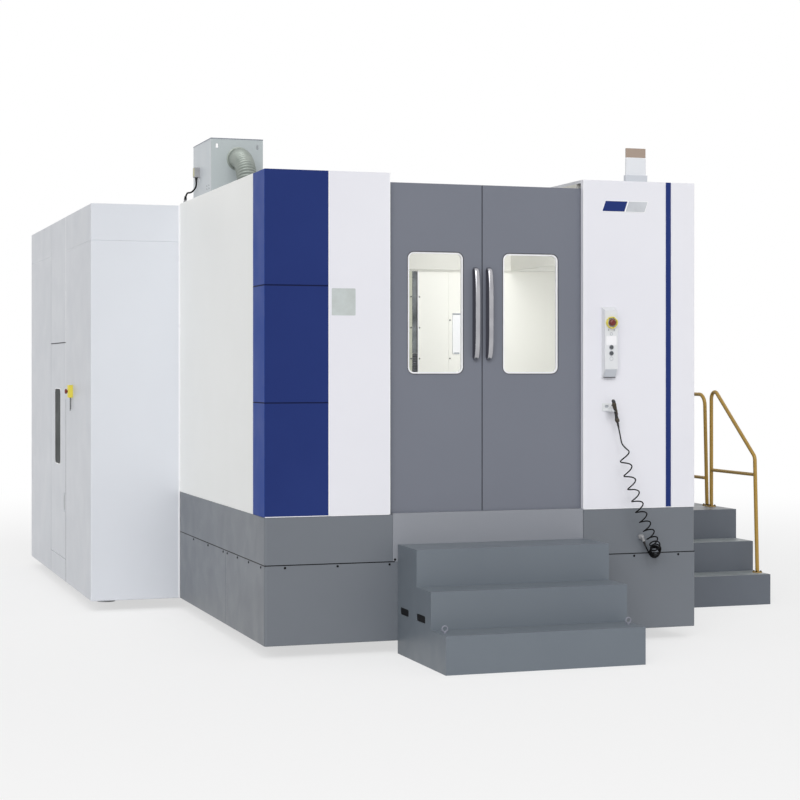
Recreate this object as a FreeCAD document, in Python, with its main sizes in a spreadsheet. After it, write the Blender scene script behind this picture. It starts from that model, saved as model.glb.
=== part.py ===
import FreeCAD, Part
import Sketcher
import math
import os

# Horizontal machining centre with pallet changer, tool magazine cabinet, steps and platform.
# Millimetres. X runs to the right along the front, Y to the rear, Z up from the floor.
# Places are given from the front left lower corner of the hall, and the frame's origin is the
# middle of the whole machine's footprint, at floor level.

os.makedirs("parts", exist_ok=True)
doc = FreeCAD.newDocument("MachiningCentre")
sheet = doc.addObject("Spreadsheet::Sheet", "Sizes")
Vector = FreeCAD.Vector

driving = {
    # hall and cabinet
    "hallWide": 3000, "hallHigh": 3000, "frontDeep": 2611, "footHigh": 83,
    "cabinetOut": 676, "cabinetDeep": 3523, "cabinetDrop": 15,
    "boardThick": 40, "roofThick": 20, "baseThick": 60, "seamEase": 3, "cornerRound": 18,
    "seamHigh": 506, "bandHigh": 808, "skirtSplit": 1080,
    "footRadius": 70, "footPadHigh": 25, "footStudRadius": 20, "footInset": 220, "footFront": 640,
    # front
    "blueWide": 418, "blueSide": 300, "blueSplitLow": 1530, "blueSplitHigh": 2272, "blueEase": 5,
    "doorLeft": 830, "doorRight": 2178, "doorSplit": 1477.5, "doorDrop": 55, "doorRecess": 47,
    "doorThick": 40, "doorLap": 20, "sealWide": 8, "apronLeft": 848, "apronRise": 7,
    "railGap": 0.3, "stripeInset": 214, "stripeWide": 38,
    "windowLow": 1712, "windowHigh": 2500, "windowRound": 42, "paneThick": 6,
    "leftWindowFrom": 964, "leftWindowTo": 1344, "rightWindowFrom": 1624, "rightWindowTo": 2014,
    "handleLow": 1905, "handleHigh": 2467, "handleRadius": 16, "handleReach": 45,
    "leftHandleAt": 1428, "rightHandleAt": 1521, "handleSlope": 48,
    # loading station and pallet changer
    "pocketThick": 20, "pocketBack": 130, "loadingDeep": 1290, "collarLow": 2540,
    "pivotBack": 1330, "palletSide": 800, "palletThick": 130,
    "palletReach": 720, "palletTop": 1290, "liftStroke": 60, "palletHoleSpacing": 640,
    "palletHoleRadius": 7, "palletBoreRadius": 25, "palletEase": 10,
    "forkWide": 60, "forkInner": 340, "forkThick": 60, "hubRadius": 150, "ramRadius": 110,
    "columnRadius": 200, "ramShow": 60, "runGap": 0.3, "partitionThick": 30,
    "wingWide": 270, "wingGap": 10, "standRadius": 250,
    # machine bed, table, column, head and spindle
    "bedWide": 1000, "bedFront": 1560, "bedRear": 3600, "bedTop": 700, "wayWide": 70, "wayHigh": 40,
    "wayEndInset": 50, "wayHalf": 350, "rearBedWide": 2400, "rearBedEnd": 5200, "rearBedTop": 760,
    "saddleSide": 1000, "saddleHigh": 160, "tableRadius": 320,
    "columnWide": 1000, "columnFront": 3900, "columnDeep": 900, "columnHigh": 1900,
    "slotHalf": 270, "slotLow": 200, "slotHigh": 1800, "columnWayWide": 60,
    "columnWayInset": 120, "columnWayDeep": 30,
    "headHalf": 250, "headFront": 3600, "headDeep": 900, "headHigh": 500, "spindleHigh": 1550,
    "headPlateHalf": 490, "headPlateHigh": 600, "headPlateThick": 80,
    "noseRadius": 150, "noseLong": 120, "spindleRadius": 64.3, "spindleProud": 25,
    "taperMouth": 34.9, "taperEnd": 19, "taperDeep": 107,
    # tool magazine and changer arm
    "wheelAcross": -330, "wheelBack": 4370, "wheelHigh": 1650, "wheelRadius": 1000, "wheelThick": 60,
    "potRadius": 48, "potLong": 110, "potPitch": 925, "potCount": 24, "toolRadius": 31,
    "toolLong": 150, "axleRadius": 60, "lightening": 170, "standWide": 200, "standThick": 70,
    "armAcross": 500, "armHigh": 1900, "armHalf": 300, "armWide": 90, "armThick": 50, "armBore": 30,
    "armOut": 60, "armCaseProud": 20, "gripRadius": 50, "armBoxHalf": 120, "armBoxDeep": 130, "armPostHalf": 80,
    # left cabinet
    "cabinetSeam": 2707, "cabinetDoorFrom": 3920, "cabinetDoorTo": 4800, "cabinetDoorLow": 182,
    "cabinetDoorHigh": 1958, "leafThick": 35, "leafGap": 3, "slitFrom": 4227, "slitTo": 4557,
    "slitLow": 949, "slitHigh": 1575, "slitDeep": 12, "latchAt": 4018, "latchLow": 584,
    "latchHigh": 707, "latchHalf": 14, "latchDeep": 14,
    "stopBoxFrom": 3530, "stopBoxTo": 3595, "stopBoxLow": 1596, "stopBoxHigh": 1696,
    "stopBoxDeep": 38, "mushroomRadius": 20, "mushroomProud": 22, "mushroomTravel": 6,
    # right side and rear
    "sideDoorFrom": 2000, "sideDoorTo": 3000, "sideDoorHigh": 2600, "sideDoorLap": 20,
    "sideRailHigh": 45, "sideRailRun": 1000, "sideLeafThick": 35, "sideLeafGap": 0.3, "sideWindowInset": 250,
    "sideWindowLow": 1600, "sideWindowHigh": 2300, "gripLow": 1480, "gripHigh": 1950,
    "gripInset": 60, "gripWide": 30, "gripOut": 50, "gripThick": 25, "gripLegInset": 20,
    "pendantFrom": 1350, "pendantTo": 1900, "pendantLow": 1550, "pendantHigh": 2350,
    "pendantDeep": 200, "pendantNeck": 120, "pendantNeckInset": 180, "pendantNeckDrop": 300,
    "screenInset": 70, "screenDrop": 380, "screenTopInset": 60, "screenDeep": 6,
    "electricLeft": 1040, "electricWide": 1200, "electricLow": 183, "electricHigh": 2403,
    "electricDeep": 450, "electricWall": 20, "driveInset": 100, "driveDeep": 250,
    "driveLow": 1300, "driveHigh": 1900,     "switchRadius": 28, "switchProud": 40, "switchHigh": 1500,
    # steps and rails
    "stairLeft": 880, "stairWide": 1311, "riser": 233, "topTread": 374.5, "midTread": 269,
    "lowTread": 267, "handHoleWide": 165, "handHoleHigh": 46, "handHoleDeep": 60,
    "handHoleRound": 14, "handHoleRise": 282, "handHoleNear": 136, "handHoleFar": 454,
    "eyeRadius": 17, "eyeWire": 4, "eyeFoot": 5, "eyeInset": 47, "eyeBack": 149,
    "platformWide": 1400, "platformFrom": 1430, "sideTread": 272, "platformDeep": 2400,
    "railInset": 60, "railLean": 22, "railRadius": 15, "railHigh": 930, "railBend": 60, "flangeRadius": 38,
    "flangeThick": 8, "railFoot": 1, "frontPostBack": 1566, "frontPostHigh": 905, "slopeTop": 1001,
    "secondPostBack": 2279, "thirdPostBack": 2395, "rearPostBack": 3750, "frontMidHigh": 765, "rearMidHigh": 228,
    # roof
    "lampAcross": 2578, "lampBack": 140, "lampWide": 145, "lampFootWide": 166, "lampFootHigh": 40,
    "lampBodyHigh": 123, "lampLensHigh": 67,
    "boxLeft": 100, "boxWide": 390, "boxFront": 1980, "boxDeep": 610, "boxHigh": 432, "boxWall": 6,
    "slotHoleWide": 18, "slotHoleHigh": 36, "slotHoleDrop": 58, "slotHoleInset": 45,
    "ductRadius": 75, "ductRib": 6, "ductAcross": 305, "ductHigh": 3365, "ductBend": 132,
    "ductRibs": 36, "ductWall": 3, "filterHigh": 250,
    "plugBack": 2363, "plugWide": 54, "plugLow": 3262, "plugHigh": 73, "plugDeep": 42,
    "cableRadius": 6.5, "glandRadius": 14, "glandHigh": 22,
    "glandAcross": 30, "glandBack": 2566,
    # button station, gun and hose
    "stationLeft": 2311, "stationWide": 92, "stationLow": 1766, "stationHigh": 2238,
    "stationDeep": 55, "stationTopBevel": 26, "stationChin": 60, "stationChinIn": 33,
    "stationButtonAcross": 2357, "stationStopHigh": 2133, "shroudRadius": 39, "shroudWall": 6,
    "shroudDeep": 20, "stopRadius": 22, "stopProud": 30, "stopTravel": 5,
    "upperButtonHigh": 1970, "lowerButtonHigh": 1930, "buttonRadius": 12, "buttonProud": 9,
    "buttonTravel": 4, "buttonGap": 0.4,
    "hookLeft": 2314, "hookWide": 73, "hookHigh": 28, "hookThick": 4,
    "gunAcross": 2400, "gunOut": 60, "gunLow": 1470, "gunTilt": 12,
    "shelfThick": 4, "shelfHigh": 1548, "hoseRadius": 4.5, "coilRadius": 34, "leadDrop": 150,
    "couplingAcross": 2594, "couplingHigh": 700, "couplingRadius": 17, "couplingOut": 24,
}
for row, (name, number) in enumerate(driving.items(), start=1):
    sheet.set(f"A{row}", name)
    sheet.set(f"B{row}", str(number))
    sheet.setAlias(f"B{row}", name)
doc.recompute()


class Size:
    """A length that knows its number and the formula in the sheet's cells that gives it."""

    def __init__(self, number, formula):
        self.number = number
        self.formula = formula

    def joined(self, other, sign):
        other = size(other)
        number = {"+": self.number + other.number, "-": self.number - other.number,
                  "*": self.number * other.number}[sign]
        return Size(number, f"({self.formula} {sign} {other.formula})")

    def __add__(self, other):
        return self.joined(other, "+")

    def __radd__(self, other):
        return size(other).joined(self, "+")

    def __sub__(self, other):
        return self.joined(other, "-")

    def __rsub__(self, other):
        return size(other).joined(self, "-")

    def __mul__(self, other):
        return self.joined(other, "*")

    def __truediv__(self, other):
        return Size(self.number / other, f"({self.formula} / {other})")


def size(value):
    """A plain number as a Size, and a Size as itself."""
    return value if isinstance(value, Size) else Size(float(value), repr(float(value)))


class Sheet:
    """Gives each named cell of the sheet as a Size."""

    def __getattr__(self, name):
        return Size(float(sheet.get(name)), f"Sizes.{name}")


v = Sheet()

# heights above the floor, and the ends of the hall and the cabinet
baseLow = v.footHigh
baseTop = v.footHigh + v.baseThick
seamZ = v.footHigh + v.seamHigh
bandZ = v.footHigh + v.bandHigh
hallTop = v.footHigh + v.hallHigh
cabinetTop = hallTop - v.cabinetDrop
rearEnd = v.frontDeep + v.cabinetDeep
rightInner = v.hallWide - v.boardThick
stripeLeft = v.hallWide - v.stripeInset
pivotAcross = v.hallWide / 2
partitionHalf = rightInner - v.wingWide - v.wingGap - pivotAcross
armFront = v.bedRear + v.armCaseProud - v.armOut
cabinetLeft = size(0) - v.cabinetOut
leftReach = v.cabinetOut + v.stopBoxDeep + v.mushroomProud
rightReach = v.hallWide + v.platformWide
stairDeep = v.topTread + v.midTread + v.lowTread
rearReach = rearEnd + v.switchProud
ductStraight = v.ductHigh - v.ductBend - hallTop
ductFoot = v.boxFront - ductStraight - v.ductBend
centreX = (rightReach - leftReach) / 2
centreY = (rearReach - stairDeep) / 2


def bind(item, field, value):
    item.setExpression(field, size(value).formula)


def place(item, x, y, z):
    """Sets an object's place from the hall's corner."""
    bind(item, "Placement.Base.x", x - centreX)
    bind(item, "Placement.Base.y", y - centreY)
    bind(item, "Placement.Base.z", size(z))
    return item


def at(x, y, z):
    """A point from the hall's corner as a vector in the part's frame."""
    return Vector(size(x).number - centreX.number, size(y).number - centreY.number, size(z).number)


def box(name, x, y, z):
    """A box between the low and high value on each axis."""
    item = doc.addObject("Part::Box", name)
    for field, (low, high) in zip(("Length", "Width", "Height"), (x, y, z)):
        bind(item, field, high - size(low))
    return place(item, size(x[0]), size(y[0]), z[0])


turnTo = {
    "+Z": FreeCAD.Rotation(),
    "+X": FreeCAD.Rotation(Vector(0, 1, 0), 90),
    "-X": FreeCAD.Rotation(Vector(0, 1, 0), -90),
    "-Y": FreeCAD.Rotation(Vector(1, 0, 0), 90),
    "+Y": FreeCAD.Rotation(Vector(1, 0, 0), -90),
}


def rod(name, start, radius, length, way="+Z", tip=None):
    """A cylinder, or a cone where a tip radius is given, that starts at a point and runs one way."""
    item = doc.addObject("Part::Cylinder" if tip is None else "Part::Cone", name)
    bind(item, "Radius" if tip is None else "Radius1", radius)
    if tip is not None:
        bind(item, "Radius2", tip)
    bind(item, "Height", length)
    item.Placement = FreeCAD.Placement(Vector(), turnTo[way])
    return place(item, *(size(value) for value in start))


def cut(name, base, tool):
    item = doc.addObject("Part::Cut", name)
    item.Base = base
    item.Tool = tool
    return item


def fuse(name, *items):
    item = doc.addObject("Part::MultiFuse", name)
    item.Shapes = list(items)
    item.Refine = True
    return item


def group(name, *items):
    """Separate like pieces that share one node."""
    item = doc.addObject("Part::Compound", name)
    item.Links = list(items)
    return item


def facingEdges(shape, *ways):
    """The edges of the flat faces whose outward side looks along one of the given ways."""
    found, curved = [], []
    for face in shape.Faces:
        if not isinstance(face.Surface, Part.Plane):
            curved += face.Edges
            continue
        normal = face.normalAt(0, 0)
        if any((normal - way).Length < 0.01 for way in ways):
            found += [edge for edge in face.Edges if isinstance(edge.Curve, Part.Line)]
    numbers = []
    for number, edge in enumerate(shape.Edges, start=1):
        wanted = any(edge.isSame(other) for other in found)
        if wanted and not any(edge.isSame(other) for other in curved):
            numbers.append(number)
    return numbers


front = Vector(0, -1, 0)
left = Vector(-1, 0, 0)
right = Vector(1, 0, 0)
rear = Vector(0, 1, 0)
up = Vector(0, 0, 1)


def eased(name, base, ease, *ways):
    """A board whose outer edges are bevelled, which shows its seams."""
    doc.recompute()
    item = doc.addObject("Part::Chamfer", name)
    item.Base = base
    width = ease.number
    item.Edges = [(number, width, width) for number in facingEdges(base.Shape, *ways)]
    return item


def board(name, x, y, z, *ways):
    return eased(name, box(name + "_blank", x, y, z), v.seamEase, *ways)


def newBody(name):
    return doc.addObject("PartDesign::Body", name)


def newSketch(body, name, plane):
    sketch = body.newObject("Sketcher::SketchObject", name)
    datum = [item for item in body.Origin.OriginFeatures if item.Role == plane][0]
    sketch.AttachmentSupport = [(datum, "")]
    sketch.MapMode = "FlatFace"
    return sketch


def pin(sketch, geometry, point, across, along):
    """Ties one point of a sketch to its place from the sketch's origin."""
    for kind, value, axis in (("DistanceX", across, -2), ("DistanceY", along, -1)):
        value = size(value)
        if abs(value.number) < 1e-9:
            sketch.addConstraint(Sketcher.Constraint("PointOnObject", geometry, point, axis))
        else:
            at_rest = Sketcher.Constraint(kind, -1, 1, geometry, point, value.number)
            number = sketch.addConstraint(at_rest)
            sketch.setExpression(f"Constraints[{number}]", value.formula)


def outline(sketch, points):
    """A closed outline of straight lines through points given from the sketch's origin."""
    numbers = [Vector(size(a).number, size(b).number, 0) for a, b in points]
    first = sketch.GeometryCount
    count = len(points)
    for step in range(count):
        sketch.addGeometry(Part.LineSegment(numbers[step], numbers[(step + 1) % count]), False)
    for step in range(count):
        follower = first + (step + 1) % count
        sketch.addConstraint(Sketcher.Constraint("Coincident", first + step, 2, follower, 1))
    for step, (a, b) in enumerate(points):
        pin(sketch, first + step, 1, a, b)


def ring(sketch, across, along, radius):
    """A circle in a sketch."""
    middle = Vector(size(across).number, size(along).number, 0)
    circle = sketch.addGeometry(Part.Circle(middle, Vector(0, 0, 1), radius.number), False)
    pin(sketch, circle, 3, across, along)
    number = sketch.addConstraint(Sketcher.Constraint("Radius", circle, radius.number))
    sketch.setExpression(f"Constraints[{number}]", radius.formula)


def pad(body, name, sketch, length, backwards=False):
    item = body.newObject("PartDesign::Pad", name)
    item.Profile = sketch
    item.Reversed = backwards
    bind(item, "Length", length)
    doc.recompute()
    return item


def pocket(body, name, sketch, length, backwards=False):
    """Cuts a sketch into its body and makes sure that it took material away."""
    before = body.Shape.Volume
    item = body.newObject("PartDesign::Pocket", name)
    item.Profile = sketch
    item.Reversed = backwards
    bind(item, "Length", length)
    doc.recompute()
    if body.Shape.Volume >= before:
        raise ValueError(f"{name} cuts nothing")
    return item


def softened(body, name, base, radius, wanted):
    """Rounds the edges of a body's last feature that a test picks."""
    picked = [f"Edge{number}" for number, edge in enumerate(base.Shape.Edges, start=1)
              if wanted(edge)]
    item = body.newObject("PartDesign::Fillet", name)
    item.Base = (base, picked)
    bind(item, "Radius", radius)
    doc.recompute()
    return item


def turned(name, plane, axis, points):
    """A turned piece: its half outline, spun about one axis of its sketch."""
    body = newBody(name)
    sketch = newSketch(body, name + "_profile", plane)
    outline(sketch, points)
    item = body.newObject("PartDesign::Revolution", name + "_turn")
    item.Profile = sketch
    item.ReferenceAxis = (sketch, [axis])
    item.Angle = 360
    doc.recompute()
    return body


def runsAlong(edge, way):
    if not isinstance(edge.Curve, Part.Line):
        return False
    return abs(abs(edge.tangentAt(edge.FirstParameter).dot(way)) - 1) < 1e-6


nodes = {}


def keep(name, item):
    """Marks an object as a sub-part, with its own label and place."""
    item.Label = name
    nodes[name] = item
    return item


def enclosure():
    """Base plate, feet, grey skirts and bands, coloured panels, roofs and the rear walls."""
    wide, deep, thick = v.hallWide, v.frontDeep, v.boardThick
    main = box("base_hall", (thick, rightInner), (thick, rearEnd - thick), (baseLow, baseTop))
    side = box("base_cabinet", (cabinetLeft + thick, thick), (deep + thick, rearEnd - thick),
               (baseLow, baseTop))
    stand = box("wheel_post", (v.wheelAcross - v.wheelThick / 2 - v.standThick * 2,
                               v.wheelAcross - v.wheelThick / 2 - v.standThick),
                (v.wheelBack - v.standWide / 2, v.wheelBack + v.standWide / 2),
                (baseLow, v.wheelHigh + v.standWide / 2))
    axle = rod("wheel_axle", (v.wheelAcross - v.wheelThick / 2 - v.standThick, v.wheelBack,
                              v.wheelHigh), v.axleRadius - v.runGap,
               v.standThick + v.wheelThick, "+X")
    collar = rod("wheel_axle_collar", (v.wheelAcross - v.wheelThick / 2 - v.standThick, v.wheelBack,
                                       v.wheelHigh), v.axleRadius + 25,
                 v.standThick - v.runGap, "+X")
    keep("hall_base", fuse("hall_base", main, side, stand, axle, collar))

    feet = []
    columns = (v.footInset, wide / 2, wide - v.footInset)
    rows = (v.footFront, deep * 0.6, deep + v.footFront, deep + v.cabinetDeep * 0.6,
            rearEnd - v.footInset)
    spots = [(x, y) for x in columns for y in rows]
    spots += [(cabinetLeft + v.footInset, y) for y in rows[2:]]
    for number, (x, y) in enumerate(spots):
        disc = rod(f"foot_pad_{number}", (x, y, 0), v.footRadius, v.footPadHigh)
        stud = rod(f"foot_stud_{number}", (x, y, v.footPadHigh), v.footStudRadius,
                   v.footHigh - v.footPadHigh)
        feet.append(fuse(f"foot_{number}", disc, stud))
    keep("levelling_feet", group("levelling_feet", *feet))

    skirts = [
        cornerPanel("skirt_front", 0, wide, v.skirtSplit, baseLow, seamZ, v.cornerRound, False),
        board("skirt_left_rear", (0, thick), (v.skirtSplit, deep), (baseLow, seamZ), left),
        board("skirt_right", (rightInner, wide), (thick, rearEnd), (baseLow, seamZ), right),
    ]
    keep("lower_skirts", group("lower_skirts", *skirts))
    bands = [
        cornerPanel("band_left", 0, v.apronLeft, deep, seamZ, bandZ, v.cornerRound, False),
        cornerPanel("band_right", wide, wide - v.doorRight - 1, rearEnd, seamZ, bandZ,
                    v.cornerRound, True),
    ]
    keep("upper_bands", group("upper_bands", *bands))
    keep("apron", board("apron", (v.apronLeft, v.doorRight), (0, thick),
                             (seamZ, bandZ + v.apronRise), front))

    blues = []
    splits = (bandZ, v.footHigh + v.blueSplitLow, v.footHigh + v.blueSplitHigh, hallTop)
    for number in range(3):
        blues.append(cornerPanel(f"blue_panel_{number + 1}", 0, v.blueWide, v.blueSide,
                                 splits[number], splits[number + 1], v.blueEase, False))
    stripeRight = stripeLeft + v.stripeWide
    blues.append(board("blue_stripe", (stripeLeft, stripeRight), (0, thick), (bandZ, hallTop),
                       front))
    keep("blue_panels", group("blue_panels", *blues))
    whites = [
        board("front_left_panel", (v.blueWide, v.doorLeft), (0, thick), (bandZ, hallTop), front),
        board("front_right_panel", (v.doorRight, stripeLeft), (0, thick), (bandZ, hallTop),
              front),
        cornerPanel("right_corner_panel", wide, wide - stripeRight, v.blueSide, bandZ, hallTop,
                    v.blueEase, True),
    ]
    keep("front_panels", group("front_panels", *whites))
    leftSide = board("left_side_panel", (0, thick), (v.blueSide, deep), (bandZ, hallTop), left)
    rightFront = board("right_side_front", (rightInner, wide), (v.blueSide, v.sideDoorFrom),
                       (bandZ, hallTop), right)
    high = box("right_side_high", (rightInner, wide), (v.sideDoorFrom, deep), (bandZ, hallTop))
    low = box("right_side_low", (rightInner, wide), (deep, rearEnd), (bandZ, cabinetTop))
    whole = fuse("right_side_whole", high, low)
    doorway = box("side_doorway", (rightInner - 10, wide + 10),
                  (v.sideDoorFrom - 10, v.sideDoorTo), (bandZ - 10, v.sideDoorHigh))
    rightRear = cut("right_side_rear", whole, doorway)
    back = box("rear_wall_whole", (cabinetLeft + thick, rightInner), (rearEnd - thick, rearEnd),
               (baseLow, cabinetTop))
    electricRight = v.electricLeft + v.electricWide
    opening = box("electric_doorway", (v.electricLeft, electricRight),
                  (rearEnd - thick - 10, rearEnd + 10), (v.electricLow, v.electricHigh))
    keep("side_panels", group("side_panels", leftSide, rightFront, rightRear,
                              cut("rear_wall", back, opening)))

    loading = box("loading_hole", (v.doorLeft, v.doorRight), (thick - 10, v.loadingDeep),
                  (hallTop - 60, hallTop + 10))
    inlet = rod("duct_hole", (v.ductAcross, ductFoot, hallTop - 60),
                v.ductRadius - v.ductWall, size(100))
    frontRoof = cut("roof_front", box("roof_front_whole", (thick, rightInner), (thick, deep),
                                      (hallTop - v.roofThick, hallTop)),
                    fuse("roof_holes", loading, inlet))
    backRoof = box("roof_back_hall", (thick, rightInner), (deep, rearEnd - thick),
                   (cabinetTop - v.roofThick, cabinetTop))
    sideRoof = box("roof_back_cabinet", (cabinetLeft + thick, thick),
                   (deep + thick, rearEnd - thick), (cabinetTop - v.roofThick, cabinetTop))
    backFused = fuse("roof_back", backRoof, sideRoof)
    keep("roof_panels", group("roof_panels", frontRoof, backFused))


def cornerPanel(name, corner, across, along, low, high, rounding, mirrored):
    """A folded corner panel: a front leg and a side leg round one vertical corner."""
    body = newBody(name)
    sketch = newSketch(body, name + "_plan", "XY_Plane")
    thick = v.boardThick
    across, along = size(across), size(along)
    plan = [(0, 0), (across, 0), (across, thick), (thick, thick), (thick, along), (0, along)]
    if mirrored:
        plan = [(across - a, b) for a, b in plan][::-1]
    outline(sketch, plan)
    fold = pad(body, name + "_fold", sketch, high - low)
    edgeAt = across.number if mirrored else 0

    def isCorner(edge):
        middle = edge.CenterOfMass
        return runsAlong(edge, up) and abs(middle.x - edgeAt) < 1e-6 and abs(middle.y) < 1e-6

    softened(body, name + "_corner", fold, rounding, isCorner)
    start = size(corner) - across if mirrored else size(corner)
    place(body, start, size(0), low)
    ways = (front, right) if mirrored else (front, left)
    return eased(name + "_eased", body, v.seamEase, *ways)


def cabinet():
    """The tool magazine cabinet: its panels, its door with slit window and latch, the stop box."""
    thick, deep = v.boardThick, v.frontDeep
    seam = v.footHigh + v.cabinetSeam
    inner = cabinetLeft + thick
    doorLow, doorHigh = v.footHigh + v.cabinetDoorLow, v.footHigh + v.cabinetDoorHigh
    panels = [
        board("cabinet_front_low", (cabinetLeft, thick), (deep, deep + thick), (baseLow, seam),
              front, left),
        board("cabinet_front_top", (cabinetLeft, thick), (deep, deep + thick), (seam, cabinetTop),
              front, left),
    ]
    sides = {
        "side_front_low": (deep + thick, v.cabinetDoorFrom, baseLow, seam),
        "side_front_top": (deep + thick, v.cabinetDoorFrom, seam, cabinetTop),
        "side_over_door": (v.cabinetDoorFrom, v.cabinetDoorTo, doorHigh, cabinetTop),
        "side_under_door": (v.cabinetDoorFrom, v.cabinetDoorTo, baseLow, doorLow),
        "side_rear_low": (v.cabinetDoorTo, rearEnd, baseLow, seam),
        "side_rear_top": (v.cabinetDoorTo, rearEnd, seam, cabinetTop),
    }
    for name, (near, far, low, high) in sides.items():
        panels.append(board(name, (cabinetLeft, inner), (near, far), (low, high), left))
    keep("cabinet_panels", group("cabinet_panels", *panels))

    gap, leaf = v.leafGap, v.leafThick
    near, far = v.cabinetDoorFrom + gap, v.cabinetDoorTo - v.runGap
    door = board("magazine_door_leaf", (cabinetLeft, cabinetLeft + leaf), (near, far),
                 (doorLow + gap, doorHigh - gap), left)
    slit = box("magazine_slit", (cabinetLeft - 5, cabinetLeft + v.slitDeep),
               (v.slitFrom, v.slitTo), (v.footHigh + v.slitLow, v.footHigh + v.slitHigh))
    cup = box("latch_cup", (cabinetLeft - 5, cabinetLeft + v.latchDeep),
              (v.latchAt - v.latchHalf * 1.6, v.latchAt + v.latchHalf * 1.6),
              (v.footHigh + v.latchLow - 15, v.footHigh + v.latchHigh + 15))
    keep("magazine_door", cut("magazine_door", cut("magazine_door_slit", door, slit), cup))
    plate = box("latch_lever", (cabinetLeft + 2, cabinetLeft + v.latchDeep - v.runGap),
                (v.latchAt - v.latchHalf, v.latchAt + v.latchHalf),
                (v.footHigh + v.latchLow, v.footHigh + v.latchHigh))
    keep("magazine_latch", plate)
    stopLeft = cabinetLeft - v.stopBoxDeep
    middle = (v.stopBoxFrom + v.stopBoxTo) / 2
    middleHigh = (v.stopBoxLow + v.stopBoxHigh) / 2
    well = rod("stop_box_well", (stopLeft - 5, middle, middleHigh),
               v.mushroomRadius * 0.5 + v.buttonGap, v.mushroomTravel + 9, "+X")
    case = board("stop_case", (stopLeft, cabinetLeft), (v.stopBoxFrom, v.stopBoxTo),
                 (v.stopBoxLow, v.stopBoxHigh), left)
    keep("cabinet_stop_box", cut("cabinet_stop_box", case, well))
    profile = mushroom(v.mushroomProud, v.mushroomRadius, v.mushroomTravel)
    button = turned("cabinet_stop_button", "XY_Plane", "H_Axis", profile)
    place(button, stopLeft - v.mushroomProud, middle, middleHigh)
    keep("cabinet_stop_button", button)


def mushroom(proud, radius, travel):
    """Half outline of a stop button: domed head, then a stem that runs on into its well."""
    back = proud - travel - 1
    stem = radius * 0.5
    return [(0, 0), (0, radius * 0.55), (3, radius * 0.86), (7, radius), (back - 2, radius),
            (back, radius * 0.9), (back, stem), (proud + 3, stem), (proud + 3, 0)]


def doorLeaf(name, low, high, windowFrom, windowTo):
    """A sliding leaf with its rounded window hole, seated between the upper and lower rail."""
    bottom = bandZ + v.apronRise + v.railGap
    top = hallTop - v.doorDrop
    body = newBody(name)
    face = newSketch(body, name + "_face", "XZ_Plane")
    wide = size(high) - low
    outline(face, [(0, 0), (wide, 0), (wide, top - bottom), (0, top - bottom)])
    pad(body, name + "_sheet", face, v.doorThick, True)
    hole = newSketch(body, name + "_window", "XZ_Plane")
    a, b = windowFrom - low, windowTo - low
    c, d = v.footHigh + v.windowLow - bottom, v.footHigh + v.windowHigh - bottom
    outline(hole, [(a, c), (b, c), (b, d), (a, d)])
    opening = pocket(body, name + "_opening", hole, v.doorThick)

    def isWindowCorner(edge):
        middle = edge.CenterOfMass
        inside = a.number - 1 < middle.x < b.number + 1 and c.number - 1 < middle.z < d.number + 1
        return runsAlong(edge, rear) and inside

    softened(body, name + "_corners", opening, v.windowRound, isWindowCorner)
    return place(body, low, v.doorRecess, bottom)


def pane(name, windowFrom, windowTo):
    """A rounded glass pane that fills a leaf's window hole, half way through its thickness."""
    body = newBody(name)
    sketch = newSketch(body, name + "_face", "XZ_Plane")
    wide = windowTo - windowFrom - v.runGap * 2
    high = v.windowHigh - v.windowLow - v.runGap * 2
    outline(sketch, [(0, 0), (wide, 0), (wide, high), (0, high)])
    sheetPad = pad(body, name + "_sheet", sketch, v.paneThick, True)
    softened(body, name + "_corners", sheetPad, v.windowRound - v.runGap,
             lambda edge: runsAlong(edge, rear))
    place(body, windowFrom + v.runGap, v.doorRecess + v.doorThick / 2,
          v.footHigh + v.windowLow + v.runGap)
    return body


def tubePath(points, radii):
    """A wire of straight runs with a tangent arc at each inner point."""
    edges = []
    start = points[0]
    for number in range(1, len(points) - 1):
        corner = points[number]
        toBack = (points[number - 1] - corner).normalize()
        toAhead = (points[number + 1] - corner).normalize()
        half = toBack.getAngle(toAhead) / 2
        reach = radii[number - 1] / math.tan(half)
        bisector = (toBack + toAhead).normalize()
        centre = corner + bisector * (radii[number - 1] / math.sin(half))
        arcStart = corner + toBack * reach
        arcEnd = corner + toAhead * reach
        middle = centre - bisector * radii[number - 1]
        edges.append(Part.LineSegment(start, arcStart).toShape())
        edges.append(Part.Arc(arcStart, middle, arcEnd).toShape())
        start = arcEnd
    edges.append(Part.LineSegment(start, points[-1]).toShape())
    return Part.Wire(edges)


def tube(points, radii, radius):
    """A round bar bent along a path."""
    path = tubePath(points, radii)
    heading = points[1] - points[0]
    section = Part.Wire(Part.makeCircle(radius, points[0], heading))
    return path.makePipeShell([section], True, False)


def shaped(name, shape):
    """A sub-part whose form comes from a shape."""
    item = doc.addObject("Part::Feature", name)
    item.Shape = shape
    return item


def handle(name, across):
    """A long polished bar with two sloping legs that stand on the door."""
    x = size(across)
    face, out = v.doorRecess, v.doorRecess - v.handleReach
    low, high, slope = v.handleLow, v.handleHigh, v.handleSlope
    deeper = v.handleRadius * 2
    further = slope.number / v.handleReach.number * deeper.number
    points = [at(x, face + deeper, high + further), at(x, out, high - slope),
              at(x, out, low + slope), at(x, face + deeper, low - further)]
    bend = v.handleReach.number
    bar = tube(points, [bend, bend], v.handleRadius.number)
    spare = further + v.handleRadius.number * 2
    slab = Part.makeBox(spare * 2, deeper.number * 2, (high - low).number + spare * 2)
    slab.translate(at(x - spare, face, low - spare))
    return shaped(name, bar.cut(slab))


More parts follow.
